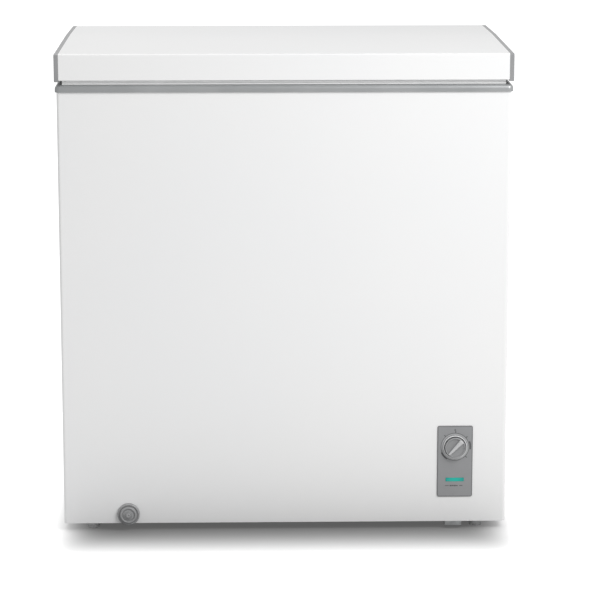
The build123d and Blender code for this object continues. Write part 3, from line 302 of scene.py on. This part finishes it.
def edged_panel(name, base, edge, rough, node):
    """Moulded grey with a darker line along the outline of a solid."""
    plastic = Finish(name, base, rough)
    low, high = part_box(node)
    across = plastic.axis("X") - (low[0] + high[0]) / 2
    up = plastic.axis("Z") - (low[2] + high[2]) / 2
    side_way = across.larger(0.0 - across) - (high[0] - low[0]) / 2
    end_way = up.larger(0.0 - up) - (high[2] - low[2]) / 2
    line = side_way.larger(end_way).step(-EDGE_LINE - EDGE_FADE, -EDGE_LINE)
    cloud = plastic.noise(scale=14.0)
    ground = plastic.blend(cloud.step(*WORN), base, scaled(base, 1.06))
    plastic.set("Base Color", plastic.blend(line, ground, edge))
    plastic.set("Roughness", (rough - SCUFF_SWING / 2) + SCUFF_SWING * cloud)
    spark_grain(plastic)
    return plastic.material


PANEL_GREY, PANEL_EDGE = (0.265, 0.268, 0.274), (0.16, 0.163, 0.168)
panel_grey = edged_panel("panel_mid_grey", PANEL_GREY, PANEL_EDGE, 0.46, "control_bezel")
print("panel:", panel_grey.name)

# %% [markdown]
# ## Round mouldings: the knob and the drain's cap
# Both are round, so their finish changes with the distance from their own axis. The knob stands in a
# ring with a narrow gap between, too deep for light to reach: the gap is painted black as shade, the
# ring is painted pale as a highlight, and the grip's top is painted paler as a highlight. The drain's
# cap has low ribs in rings, with shade painted darker between them. The gap is modelled further down,
# but its grey walls scatter light back out, so the finish also darkens them with painted shade.

# %% Finishes that follow a radius
KNOB_GAP, GAP_FADE = (0.0185, 0.0196), 0.0001
# The grip's painted highlight begins between these heights in front of the knob's rear, and ends
# between these radii.
GRIP_HEIGHTS = (0.0086, 0.0098)
GRIP_RADII = (0.0180, 0.0184)


def radius_from(finish, x, z):
    """Distance from an axis that points out of the front, in metres."""
    across, up = finish.axis("X") - x, finish.axis("Z") - z
    return (across * across + up * up) ** 0.5


def middle(node):
    """Where a solid's middle lies across and up the front."""
    low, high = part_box(node)
    return (low[0] + high[0]) / 2, (low[2] + high[2]) / 2


def knob_moulding(name, base, gap_shade, ring_highlight, grip_highlight):
    """Grey knob with painted shade in its gap and painted highlights on its ring and grip."""
    plastic = Finish(name, base, 0.26)
    radius = radius_from(plastic, *middle("thermostat_knob"))
    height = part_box("thermostat_knob")[1][1] - plastic.axis("Y")
    # Painted shade in the gap, painted highlights on the ring and on the grip's top
    into_gap, onto_ring = (radius.step(wall - GAP_FADE, wall + GAP_FADE) for wall in KNOB_GAP)
    grip = height.step(*GRIP_HEIGHTS) * (1.0 - radius.step(*GRIP_RADII))
    cloud = plastic.noise(scale=40.0)
    ground = plastic.blend(cloud.step(*WORN), base, scaled(base, 1.08))
    face = plastic.blend(grip, ground, grip_highlight)
    cup = plastic.blend(into_gap - onto_ring, face, gap_shade)
    plastic.set("Base Color", plastic.blend(onto_ring, cup, ring_highlight))
    plastic.set("Roughness", 0.22 + 0.10 * cloud)
    spark_grain(plastic)
    return plastic.material


RIB_PITCH = 0.0052
RIB_SHADE_BAND = (-0.2, 0.8)    # from unshaded to full painted shade, as the ripple rises between two ribs


def ringed_cap(name, base, node):
    """Grey moulding with shade painted darker between the ribs that ring the axis of a solid."""
    plastic = Finish(name, base, 0.32)
    # Shade is painted darker between the ribs, where the ripple rises
    rib_shade = radius_from(plastic, *middle(node)).ripple(RIB_PITCH).step(*RIB_SHADE_BAND)
    cloud = plastic.noise(scale=30.0)
    plastic.set("Base Color", plastic.blend(rib_shade, base, scaled(base, 0.70)))
    plastic.set("Roughness", 0.28 + 0.10 * cloud)
    spark_grain(plastic)
    return plastic.material


# Painted shade for the knob's gap, painted highlights for its ring and its grip
KNOB_GREY, GAP_SHADE_BLACK = (0.25, 0.253, 0.258), (0.008, 0.008, 0.009)
RING_HIGHLIGHT, GRIP_HIGHLIGHT = (0.70, 0.705, 0.71), (0.54, 0.545, 0.55)
DRAIN_GREY = (0.37, 0.373, 0.378)
knob_grey = knob_moulding("knob_grey_plastic", KNOB_GREY, GAP_SHADE_BLACK, RING_HIGHLIGHT, GRIP_HIGHLIGHT)
drain_plastic = ringed_cap("drain_grey_plastic", DRAIN_GREY, "drain_dial")
print("round mouldings:", knob_grey.name, drain_plastic.name)

# %% [markdown]
# ## Bare and plated metal
# The back and the pan under the compressor are zinc coated. Hot-dip zinc freezes in flakes, the
# spangle, each with its own tilt, so each catches the light a little differently. Cell noise gives
# every flake one random value, which drives brightness and roughness together. Small plated pieces,
# such as screws, are too small for spangle and get fine turning marks instead.

# %% Zinc sheet with spangle
def zinc_sheet(name, base):
    """Galvanised steel: flakes that differ in brightness and polish."""
    zinc = Finish(name, base, 0.42, Metallic=1.0)
    flake = zinc.cells(scale=110.0, output="Color")
    tone = Val(zinc, zinc.node("ShaderNodeSeparateColor", (), (flake,)).outputs["Red"])
    zinc.set("Base Color", zinc.blend(tone, scaled(base, 0.88), scaled(base, 1.06)))
    zinc.set("Roughness", 0.37 + 0.14 * tone)
    zinc.relief(zinc.noise(scale=260.0), depth=0.00004, strength=0.4)
    return zinc.material


def plated(name, base, rough, scale=700.0):
    """Small turned or drawn metal piece with a thin bright plating."""
    metal = Finish(name, base, rough, Metallic=1.0)
    marks = metal.noise(scale, detail=2.0, stretch=(1, 1, 6))
    stain = metal.noise(scale=60.0, detail=4.0, rough=0.6)
    metal.set("Base Color", metal.blend(stain.step(0.45, 0.8), base, scaled(base, 0.72)))
    metal.set("Roughness", (rough - 0.06) + 0.16 * marks)
    metal.relief(marks, depth=0.00002, strength=0.5)
    return metal.material


galvanised = zinc_sheet("galvanised_sheet", (0.62, 0.635, 0.64))
screw_zinc = plated("zinc_plated_screw", (0.70, 0.70, 0.68), 0.32)
pin_steel = plated("polished_pin_steel", (0.58, 0.58, 0.59), 0.22)
spring_steel = plated("oiled_spring_steel", (0.24, 0.24, 0.25), 0.36)
copper = plated("drawn_copper", (0.80, 0.40, 0.25), 0.30, scale=300.0)
coil_aluminium = plated("coil_aluminium", (0.78, 0.79, 0.80), 0.36)
print("metals ready")

# %% [markdown]
# ## The well's stucco aluminium
# Inside, the tub is thin aluminium embossed all over with a shallow stucco pattern, which stiffens it
# and hides frost scratches. The emboss rolls leave short ridges that meet at odd angles. Cut into the
# mesh they would take millions of faces, so a smooth cell pattern with a broader noise added to it
# raises them in the finish. Because the sheet is lacquered it is only half as metallic as bare metal.

# %% Embossed aluminium
def stucco_sheet(name, base):
    """Lacquered aluminium with a rolled-in pattern of short ridges."""
    skin = Finish(name, base, 0.36, Metallic=0.55)
    bend = skin.noise(scale=60.0, detail=2.0)
    ridges = skin.cells(scale=150.0, feature="SMOOTH_F1") + 0.35 * bend
    cloud = skin.noise(scale=5.0, detail=2.0)
    skin.set("Base Color", skin.blend(cloud, base, scaled(base, 1.06)))
    skin.set("Roughness", 0.30 + 0.14 * cloud)
    skin.relief(ridges, depth=0.0011, strength=0.55)
    return skin.material


stucco = stucco_sheet("stucco_aluminium", (0.80, 0.815, 0.83))
print("liner:", stucco.name)

# %% [markdown]
# ## Foam, rubber and the compressor's enamel
# The insulation is blown polyurethane: cream coloured, full of tiny bubbles, with a harder skin. The
# seal is soft white vinyl that goes a little dull. The compressor is dipped in thick black enamel,
# which runs slightly and shows long soft waves. Each is a base colour with one pattern of the right
# size, because size is what tells foam from rubber from paint.

# %% Foam, vinyl, rubber and enamel
def blown_foam(name, base, pale):
    """Matt foam full of bubbles, a little paler in clouds."""
    foam = Finish(name, base, 0.9, Specular_IOR_Level=0.2)
    bubbles = foam.cells(scale=520.0)
    clouds = foam.noise(scale=22.0, detail=4.0)
    foam.set("Base Color", foam.blend(clouds.step(0.35, 0.7), base, pale))
    foam.set("Roughness", 0.82 + 0.12 * clouds)
    foam.relief(bubbles, depth=0.0006, strength=0.8)
    return foam.material


def soft_rubber(name, base, rough, dust):
    """Vinyl or rubber that dulls in patches where dust clings."""
    rubber = Finish(name, base, rough, Specular_IOR_Level=0.35)
    bloom = rubber.noise(scale=70.0, detail=4.0, rough=0.6)
    rubber.set("Base Color", rubber.blend(bloom.step(0.45, 0.75), base, dust))
    rubber.set("Roughness", (rough - 0.06) + 0.12 * bloom)
    rubber.relief(rubber.noise(scale=1400.0, detail=2.0), depth=0.00002, strength=0.5)
    return rubber.material


def thick_enamel(name, base, dusty):
    """Dipped enamel with long soft runs and a little dust."""
    enamel = Finish(name, base, 0.26, Specular_IOR_Level=0.5)
    waves = enamel.noise(scale=36.0, detail=2.0, rough=0.4, stretch=(1, 1, 0.4))
    dust = enamel.noise(scale=150.0, detail=5.0, rough=0.65)
    enamel.set("Base Color", enamel.blend(dust.step(0.55, 0.8), base, dusty))
    enamel.set("Roughness", 0.20 + 0.25 * dust)
    enamel.relief(waves, depth=0.0009, strength=0.4)
    return enamel.material


foam_cream = blown_foam("blown_foam", (0.80, 0.70, 0.48), (0.86, 0.74, 0.50))
seal_vinyl = soft_rubber("seal_vinyl", (0.75, 0.755, 0.755), 0.46, (0.79, 0.79, 0.79))
black_rubber = soft_rubber("black_rubber", (0.022, 0.022, 0.023), 0.62, (0.05, 0.05, 0.052))
sheath = soft_rubber("lead_sheath", (0.020, 0.020, 0.022), 0.48, (0.035, 0.035, 0.037))
enamel_black = thick_enamel("black_enamel", (0.013, 0.013, 0.014), (0.045, 0.045, 0.047))
print("foam, rubber and enamel ready")

# %% [markdown]
# ## The lamp's lens and the coated wire
# The lamp shows through a flat green-blue window that glows faintly across its whole width, brightest
# in the middle where the lamp sits. The basket is steel wire dipped in white vinyl, thick enough to
# round every weld. The lens is given a little light of its own, since a real lamp behind so small a
# lens would cost many samples and look the same.

# %% Lens, lamp holder and wire
LENS_TEAL, LENS_GLOW = (0.0, 0.34, 0.285), 0.14
LENS_ENDS, LENS_MIDDLE = (0.0, 0.25, 0.22), (0.0, 0.37, 0.30)
LIGHT_ENDS, LIGHT_MIDDLE = (0.0, 0.10, 0.09), (0.0, 0.40, 0.34)
GLOW_ENDS = 1 / 60    # the glow has faded this far from the lens's middle
lens = Finish("lamp_lens", LENS_TEAL, 0.20, Specular_IOR_Level=0.5, Emission_Strength=LENS_GLOW)
along = (lens.axis("X") - middle("indicator_lens")[0]) * (1 / GLOW_ENDS)
glow = (1.0 - along * along).held()
lens.set("Base Color", lens.blend(glow, LENS_ENDS, LENS_MIDDLE))
lens.set("Emission Color", lens.blend(glow, LIGHT_ENDS, LIGHT_MIDDLE))
lens.relief(lens.noise(scale=500.0, detail=2.0), depth=0.00002, strength=0.4)

lamp_holder = moulded("lamp_holder", (0.70, 0.72, 0.66), 0.35)
coated_wire = moulded("white_coated_wire", (0.78, 0.785, 0.78), 0.33, grain=240.0, depth=0.00012, lift=0.12)
print("lens:", lens.material.name)

# %% [markdown]
# ## Dressing the solids
# Each solid names the kind of surface it has, and that name picks the finish. A table keeps the choice
# in one place, so a new solid of a known kind needs no new line. Only the drain's cap and collar leave
# the table: they are moulded plastic like the pipe behind them, but in a grey of their own.

# %% Put a finish on every solid
FINISHES = {
    "white_paint": white_paint,
    "galvanised_sheet": galvanised,
    "liner_aluminium": stucco,
    "insulation_foam": foam_cream,
    "grey_plastic": frame_grey,
    "cap_plastic": cap_grey,
    "white_plastic": white_plastic,
    "seal_rubber": seal_vinyl,
    "black_rubber": black_rubber,
    "foot_plastic": foot_plastic,
    "hinge_steel": galvanised,
    "pin_steel": pin_steel,
    "spring_steel": spring_steel,
    "screw_zinc": screw_zinc,
    "compressor_black": enamel_black,
    "copper_tube": copper,
    "steel_tube": spring_steel,
    "coil_aluminium": coil_aluminium,
    "black_plastic": black_plastic,
    "panel_grey": panel_grey,
    "knob_grey": knob_grey,
    "lens_teal": lens.material,
    "lamp_plastic": lamp_holder,
    "lead_sheath": sheath,
    "basket_wire": coated_wire,
}
slots = {part["node"]: part["material_slot"] for part in frame["record"]["subparts"]}
for name, solid in nodes.items():
    solid.data.materials.clear()
    solid.data.materials.append(FINISHES[slots[name]])
for name in ("drain_dial", "drain_collar"):
    nodes[name].data.materials[0] = drain_plastic
print("finishes on", len(nodes), "solids")

# %% [markdown]
# ## Printing the dial
# The scale round the knob is pad printed on the panel: a thin dark ring with a pale ring inside it,
# four short ticks, a heavier arc on either side and a plain nought at the top for off. A print could
# be painted with a mask in the shader, but real ink sits on top of the plastic with a hard edge, so it
# is laid down as flat shapes about a tenth of a millimetre thick.

# %% Flat ink shapes on the panel
panel_low, panel_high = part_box("control_bezel")
panel_front = panel_low[1]
panel_x = (panel_low[0] + panel_high[0]) / 2
knob_low, knob_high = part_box("thermostat_knob")
knob_z = (knob_low[2] + knob_high[2]) / 2
knob_radius = (knob_high[0] - knob_low[0]) / 2
INK = 0.00012
ARC_STEP = 3    # degrees
SHARP_ANGLE = math.radians(38)


def mesh_piece(name, build, material, smooth=True):
    """Makes an object from a function that fills a bmesh."""
    mesh = bpy.data.meshes.new(name)
    bm = bmesh.new()
    build(bm)
    bmesh.ops.recalc_face_normals(bm, faces=bm.faces)
    bm.to_mesh(mesh)
    bm.free()
    if smooth:
        mesh.shade_smooth()
        mesh.set_sharp_from_angle(angle=SHARP_ANGLE)
    piece = bpy.data.objects.new(name, mesh)
    bpy.context.scene.collection.objects.link(piece)
    mesh.materials.append(material)
    return piece


def join_loops(bm, loops):
    """Joins each closed loop of points to the next by a band of faces."""
    for a, b in zip(loops, loops[1:]):
        for i in range(len(a)):
            j = (i + 1) % len(a)
            bm.faces.new((a[i], a[j], b[j], b[i]))


def inked(bm, outline):
    """A flat shape given by (x, z) points, one layer of ink thick on the panel's front."""
    front = [bm.verts.new((x, panel_front - INK, z)) for x, z in outline]
    rear = [bm.verts.new((x, panel_front, z)) for x, z in outline]
    bm.faces.new(front)
    bm.faces.new(rear[::-1])
    for i in range(len(outline)):
        j = (i + 1) % len(outline)
        bm.faces.new((front[i], rear[i], rear[j], front[j]))


def polar(radius, degrees):
    """A point round the knob's axis, degrees clockwise from the top."""
    turn = math.radians(degrees)
    return panel_x + radius * math.sin(turn), knob_z + radius * math.cos(turn)


def ink_arc(bm, band, start, end):
    """Part of a ring. A band is where it starts and ends, measured out from the knob's edge."""
    inner, outer = (knob_radius + out for out in band)
    steps = max(2, int((end - start) / ARC_STEP))
    turns = [start + (end - start) * i / steps for i in range(steps + 1)]
    inked(bm, [polar(outer, t) for t in turns] + [polar(inner, t) for t in reversed(turns)])


def ink_ring(bm, band):
    """A whole ring, in four parts."""
    for start in range(0, 360, 90):
        ink_arc(bm, band, start, start + 90)


# %% The marks of the dial
# Bands are measured out from the knob's edge, and turns are degrees clockwise from the top
PALE_RING, DARK_RING = (0.0012, 0.0026), (0.0036, 0.0043)
TICKS, TICK_BAND, TICK_HALF = (2, 49, 133, 318), (0.0042, 0.0078), 1.5
SIDE_ARCS = [((0.0050, 0.0075), 69, 100), ((0.0044, 0.0062), 212, 247)]
NOUGHT_OUT, NOUGHT_POINTS = 0.0098, 20
# Half the width and half the height of the nought's two rims
NOUGHT_OUTSIDE, NOUGHT_INSIDE = (0.0012, 0.0017), (0.0006, 0.0010)


def nought(bm):
    """An upright oval ring above the dial."""
    centre_z = polar(knob_radius + NOUGHT_OUT, 0)[1]
    turns = [math.tau * i / NOUGHT_POINTS for i in range(NOUGHT_POINTS + 1)]
    rims = [[(panel_x + half_x * math.sin(t), centre_z + half_z * math.cos(t)) for t in turns]
            for half_x, half_z in (NOUGHT_OUTSIDE, NOUGHT_INSIDE)]
    for i in range(NOUGHT_POINTS):
        inked(bm, [rims[0][i], rims[0][i + 1], rims[1][i + 1], rims[1][i]])


def dial_marks(bm):
    """Everything that is printed dark round the knob."""
    ink_ring(bm, DARK_RING)
    for degrees in TICKS:
        ink_arc(bm, TICK_BAND, degrees - TICK_HALF, degrees + TICK_HALF)
    for band, start, end in SIDE_ARCS:
        ink_arc(bm, band, start, end)
    nought(bm)


def pale_ring(bm):
    ink_ring(bm, PALE_RING)


ink_dark = moulded("dark_print", (0.055, 0.056, 0.058), 0.5, grain=1600.0, depth=0.00001)
ink_pale = moulded("pale_print", (0.40, 0.405, 0.41), 0.45, grain=1600.0, depth=0.00001)
marks = mesh_piece("dial_marks", dial_marks, ink_dark, smooth=False)
ring = mesh_piece("dial_ring", pale_ring, ink_pale, smooth=False)
for piece in (marks, ring):
    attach(piece, "cabinet")
marks_top = max(corner.co.z for corner in marks.data.vertices)
print("dial print reaches", round((marks_top - knob_z) * 1000, 1), "mm above the knob's axis")

# %% [markdown]
# ## A row of dashes under the lamp
# Below the lamp the panel carries one short printed line. It is kept as plain dashes: a thin one, a
# heavy one broken in four and a middling one, so that it reads as print without saying anything.

# %% Dashes
DASH_DROP = 0.0112
# Where each dash starts and ends from the panel's middle, and its height
DASHES = [(-0.0172, -0.0105, 0.0010), (-0.0088, -0.0056, 0.0025), (-0.0050, -0.0018, 0.0022),
          (-0.0012, 0.0022, 0.0025), (0.0028, 0.0055, 0.0022), (0.0085, 0.0142, 0.0016)]
dash_z = middle("indicator_lens")[1] - DASH_DROP


def dash_row(bm):
    for start, end, height in DASHES:
        corners = [(start, -height / 2), (end, -height / 2), (end, height / 2), (start, height / 2)]
        inked(bm, [(panel_x + x, dash_z + z) for x, z in corners])


dashes = mesh_piece("panel_dashes", dash_row, ink_dark, smooth=False)
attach(dashes, "cabinet")
print("dashes at z", round(dash_z * 1000, 1), "mm")

# %% [markdown]
# ## Turning the knob
# The knob is a short cup that stands in a low ring of its own: the ring, a narrow gap, the cup's wall
# and rim, a sunk face, and a grip bar that widens towards the end that points. A round part comes
# from a profile spun about an axis, so ring and cup are one list of radii and heights. The bar is a
# row of cross sections joined up, because a stretched block could not taper in both directions. A
# small bevel takes the sharpness off every edge.

# %% Knob with a sunk face and a tapering grip
MM = 0.001
ROUND_STEPS = 72
knob_rear = knob_high[1]
KNOB_TURN = math.radians(42)
# Radius and height of each point of the profile, in millimetres, from the axis and the knob's rear
CUP = [(3.2, 0.0), (21.3, 0.0), (21.3, 3.4), (20.7, 4.2), (20.1, 4.2), (19.6, 3.6), (19.5, 1.0), (18.5, 1.0),
       (18.4, 8.2), (17.9, 9.0), (17.0, 9.2), (16.5, 8.8), (16.1, 7.6), (15.5, 7.2), (8.0, 7.1), (0.4, 7.2)]
# Place along the bar, height of its top and width there, in millimetres
BAR = [(-16.9, 9.0, 2.8), (-15.9, 10.6, 4.6), (-8.0, 11.8, 5.6), (4.0, 13.2, 6.8), (13.6, 14.6, 8.0),
       (16.6, 15.0, 8.6), (17.8, 13.0, 8.0)]
BAR_FOOT, BAR_SHOULDER = 6.8, 1.3
# Shares of the half width that the bar keeps at its shoulders and across its top
AT_SHOULDER, AT_TOP = 0.92, 0.62
EDGE_BEVEL, BEVEL_STEPS = 0.0003, 2


def circle(bm, centre_x, centre_z, radius, y):
    """A closed circle of points about an axis that comes out of the front."""
    turns = [math.tau * i / ROUND_STEPS for i in range(ROUND_STEPS)]
    points = [(centre_x + radius * math.sin(t), y, centre_z + radius * math.cos(t)) for t in turns]
    return [bm.verts.new(point) for point in points]


def cup_and_ring(bm):
    """The profile spun about the knob's axis and closed by the face."""
    circles = [circle(bm, panel_x, knob_z, radius * MM, knob_rear - height * MM) for radius, height in CUP]
    join_loops(bm, circles)
    bm.faces.new(circles[-1])


def grip(bm):
    """The bar: six points to a cross section, wider and higher towards the pointing end."""
    sections = []
    for along_bar, top, width in BAR:
        half, shoulder = width / 2, top - BAR_SHOULDER
        right = [(AT_TOP * half, top), (AT_SHOULDER * half, shoulder), (half, BAR_FOOT)]
        outline = [(-across, height) for across, height in reversed(right)] + right
        section = []
        for across, height in outline:
            x = along_bar * math.sin(KNOB_TURN) + across * math.cos(KNOB_TURN)
            z = along_bar * math.cos(KNOB_TURN) - across * math.sin(KNOB_TURN)
            section.append(bm.verts.new((panel_x + x * MM, knob_rear - height * MM, knob_z + z * MM)))
        sections.append(section)
    join_loops(bm, sections)
    bm.faces.new(sections[0])
    bm.faces.new(sections[-1])


def knob_shape(bm):
    cup_and_ring(bm)
    grip(bm)


knob = mesh_piece("turned_knob", knob_shape, knob_grey)
soften = knob.modifiers.new("edge", "BEVEL")
soften.width, soften.segments, soften.limit_method = EDGE_BEVEL, BEVEL_STEPS, "ANGLE"
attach(knob, "control_knob")
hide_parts("thermostat_knob")
print("knob:", len(knob.data.polygons), "faces")

# %% [markdown]
# ## Ribs on the drain's cap
# A thin moulded disc warps as it cools unless ribs hold it flat, so the cap and the flange behind it
# carry low round ribs in rings. They could be cut into the solid, but as separate closed rings they
# stay easy to move. Each sits where the finish is pale, half way between two dark bands.

# %% Round ribs about the drain's axis
RIB_HALF, RIB_HEIGHT, RIB_STEPS = 0.0008, 0.0009, 6
BUTTON_STANDS, GROOVE_DEEP = 0.002, 0.0015
drain_x, drain_z = middle("drain_dial")
button_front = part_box("drain_dial")[0][1]
land_front = button_front + BUTTON_STANDS
groove_floor = land_front + GROOVE_DEEP
flange_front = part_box("drain_collar")[0][1]


def rib(bm, pitches, y_base):
    """A closed ring with a half-round section, so many pitches from the drain's axis."""
    circles = []
    for bend in (math.pi * i / RIB_STEPS for i in range(RIB_STEPS + 1)):
        radius = pitches * RIB_PITCH + RIB_HALF * math.cos(bend)
        circles.append(circle(bm, drain_x, drain_z, radius, y_base - RIB_HEIGHT * math.sin(bend)))
    join_loops(bm, circles + circles[:1])


def cap_ribs(bm):
    """One rib on the button, one in the groove and one on the land round it."""
    for pitches, y_base in ((0.5, button_front), (1.5, groove_floor), (2.5, land_front)):
        rib(bm, pitches, y_base)


def flange_rib(bm):
    rib(bm, 3.5, flange_front)


for name, build, body, node in (("drain_cap_ribs", cap_ribs, "drain_dial", "drain_dial"),
                                ("drain_flange_rib", flange_rib, "cabinet", "drain_collar")):
    piece = mesh_piece(name, build, drain_plastic)
    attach(piece, body)
print("ribs every", round(RIB_PITCH * 1000, 1), "mm")

# %% [markdown]
# ## Extruding the seal
# A freezer's seal is an extruded vinyl strip with a flat bulb that holds a magnet, two thin bellows
# that let it follow the lid, and a foot that plugs into the lid. The foot is hidden there and is left
# out. With the lid closed the bellows fold flat, and only a small groove shows on either side. The
# four lengths are cut at 45 degrees and welded, so the corners are mitres. The same profile is
# therefore carried round four corners without any rounding.

# %% Bellows seal with mitred corners
seal_low, seal_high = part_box("lid_gasket")
# Distance in from the seal's outside and height above its underside, in millimetres
SEAL = [(0.6, 0.0), (0.0, 0.7), (0.0, 2.6), (0.4, 3.1), (1.4, 3.3), (1.4, 3.6), (0.3, 3.8), (0.0, 4.3),
        (0.0, 6.2), (0.5, 6.9), (2.6, 7.0), (19.4, 7.0), (21.5, 6.9), (22.0, 6.2), (22.0, 4.3), (21.7, 3.8),
        (20.6, 3.6), (20.6, 3.3), (21.6, 3.1), (22.0, 2.6), (22.0, 0.7), (21.4, 0.0), (14.0, 0.0),
        (13.4, 0.5), (8.6, 0.5), (8.0, 0.0)]


def seal_shape(bm):
    corners = []
    for side_x, side_y in ((-1, -1), (1, -1), (1, 1), (-1, 1)):
        corner = []
        for inset, height in SEAL:
            x = (seal_high[0] if side_x > 0 else seal_low[0]) - side_x * inset * MM
            y = (seal_high[1] if side_y > 0 else seal_low[1]) - side_y * inset * MM
            corner.append(bm.verts.new((x, y, seal_low[2] + height * MM)))
        corners.append(corner)
    join_loops(bm, corners + corners[:1])


seal = mesh_piece("bellows_seal", seal_shape, seal_vinyl)
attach(seal, "lid")
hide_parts("lid_gasket")
print("seal is", round((seal_high[2] - seal_low[2]) * 1000, 1), "mm high")

# %% [markdown]
# ## Levels of the studio
# All the numbers that set the brightness stand together, because they only make sense together: white
# paint of 0.82 under a total level of 1 renders as a light grey just below white.

# %% Light levels
WHITE, BLACK = (1.0, 1.0, 1.0), (0.0, 0.0, 0.0)
FLOOR_WHITE = (0.90, 0.90, 0.90)
FLOOR_NEAR = (0.17, 0.17, 0.17)
FLOOR_NEAR_GLOW = (0.145, 0.145, 0.145)
FLOOR_LIFT = 0.7
FLOOR_REACH = 14.0
# The painted shadow is full up to the first distance from the case's outline and gone at the second.
# At the sides it starts further in and falls off faster, and its corners are rounded.
SHADOW_DARK, SHADOW_END = -0.02, 0.22
SHADOW_INSET, SHADOW_SQUEEZE, SHADOW_ROUND = 0.055, 2.0, 0.12
FILL = 0.585
LAMP_AIM = (0.0, 0.0, 0.45)
# Name, place, side of the square in metres, power in watts
LAMPS = [("key", (1.3, -1.7, 1.9), 1.0, 32.0),
         ("top", (-0.8, 0.4, 2.6), 1.2, 15.0)]
print("fill", FILL, "lamps", [lamp[0] for lamp in LAMPS])

# %% [markdown]
# ## A pale floor and soft light
# A shop picture of a white appliance needs a white background that doesn't eat the white object. The
# floor is plain and pale, and glows a little for the camera so that it ends in pure white. Close to
# the case it is painted darker, which deepens the shadow beyond what such soft lamps make of it. The
# surroundings light the object evenly at a level below full white, while the camera sees them as pure
# white. One large lamp at the upper right makes the right side brighter than the left, and a weaker
# one from above lights the lid.

# %% The floor and its shadow
def floor_shape(bm):
    corners = [(-1, -1), (1, -1), (1, 1), (-1, 1)]
    bm.faces.new([bm.verts.new((x * FLOOR_REACH, y * FLOOR_REACH, 0.0)) for x, y in corners])


floor_finish = Finish("pale_floor", FLOOR_WHITE, 1.0, Specular_IOR_Level=0.0)
(west, south, _), (east, north, _) = cad_box
side, front = floor_finish.axis("X"), floor_finish.axis("Y")
beside = (west - side).larger(side - east) + SHADOW_INSET
ahead = (south - front).larger(front - north)
away = (SHADOW_SQUEEZE * beside).larger(ahead, SHADOW_ROUND)
clear = away.step(SHADOW_DARK, SHADOW_END)
sight = floor_finish.node("ShaderNodeLightPath")
floor_glow = floor_finish.blend(clear, FLOOR_NEAR_GLOW, WHITE)
floor_finish.set("Emission Color", floor_finish.blend(sight.outputs["Is Camera Ray"], BLACK, floor_glow))
floor_finish.set("Emission Strength", FLOOR_LIFT)
floor_finish.set("Base Color", floor_finish.blend(clear, FLOOR_NEAR, FLOOR_WHITE))
floor = mesh_piece("floor", floor_shape, floor_finish.material, smooth=False)
floor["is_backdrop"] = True
print("floor reaches", FLOOR_REACH, "m each way")

# %% Surroundings that light below white and look white
world = bpy.data.worlds.new("studio")
bpy.context.scene.world = world
world.use_nodes = True
sky = NodeTree(world.node_tree)
surroundings = sky.tree.nodes["Background"]
sky.feed(surroundings.inputs["Color"], (*WHITE, 1.0))
sky.feed(surroundings.inputs["Strength"], FILL)
seen = sky.node("ShaderNodeBackground", (), {"Color": (*WHITE, 1.0), "Strength": 1.0})
rays = sky.node("ShaderNodeLightPath").outputs
seeing = (rays["Is Camera Ray"], rays["Is Transmission Ray"])
either = sky.node("ShaderNodeMath", {"operation": "MAXIMUM"}, seeing)
mix = sky.node("ShaderNodeMixShader", (), (either.outputs[0], surroundings.outputs[0], seen.outputs[0]))
sky.feed(sky.tree.nodes["World Output"].inputs["Surface"], mix.outputs[0])
print("surroundings of", len(sky.tree.nodes), "nodes")


# %% Lamps
def soft_lamp(name, place, aim, size, watts):
    """A square lamp at a place, turned towards a point."""
    light = bpy.data.lights.new(name, "AREA")
    light.shape, light.size, light.energy = "SQUARE", size, watts
    lamp = bpy.data.objects.new(name, light)
    bpy.context.scene.collection.objects.link(lamp)
    lamp.location = place
    lamp.rotation_euler = (Vector(aim) - Vector(place)).to_track_quat("-Z", "Y").to_euler()


for name, place, size, watts in LAMPS:
    soft_lamp(name, place, LAMP_AIM, size, watts)
print("lamps:", len(LAMPS))

# %% [markdown]
# ## The camera
# The picture is taken from nearly straight ahead, half a metre above the lid, with a long lens, which
# keeps the case's edges almost parallel. The position and the lens length were worked out from the
# object's size and its outline. Shifting the lens would keep the uprights parallel, but a shift stays
# when the camera moves and pushes the object out of the middle, so the camera is only turned.

# %% Camera
CAMERA_PLACE = (-0.0746, -4.7473, 1.3520)
LOOK_DOWN, LOOK_ASIDE = math.radians(11.704), math.radians(-1.3)
LENS_LENGTH, SENSOR_WIDTH = 155.27, 36.0    # millimetres
FARTHEST_SEEN = 60.0
camera_data = bpy.data.cameras.new("camera")
camera = bpy.data.objects.new("camera", camera_data)
bpy.context.scene.collection.objects.link(camera)
bpy.context.scene.camera = camera
camera.location = CAMERA_PLACE
camera.rotation_euler = (math.tau / 4 - LOOK_DOWN, 0.0, LOOK_ASIDE)
camera_data.lens = LENS_LENGTH
camera_data.sensor_width = SENSOR_WIDTH
camera_data.clip_end = FARTHEST_SEEN
bpy.context.scene.view_settings.view_transform = "Standard"
print("camera at", [round(c, 2) for c in camera.location])

# %% [markdown]
# ## Measure the size
# Paint and print should not make the freezer bigger. Both boxes, the solids' and the dressed object's,
# are measured, and the largest difference between them is printed.

# %% Sizes and the end
full_box = [list(corner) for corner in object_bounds()]
grown = max(abs(a - b) for ends in zip(cad_box, full_box) for a, b in zip(*ends))
print("size differs from the solids by", round(grown * 1000, 3), "mm")
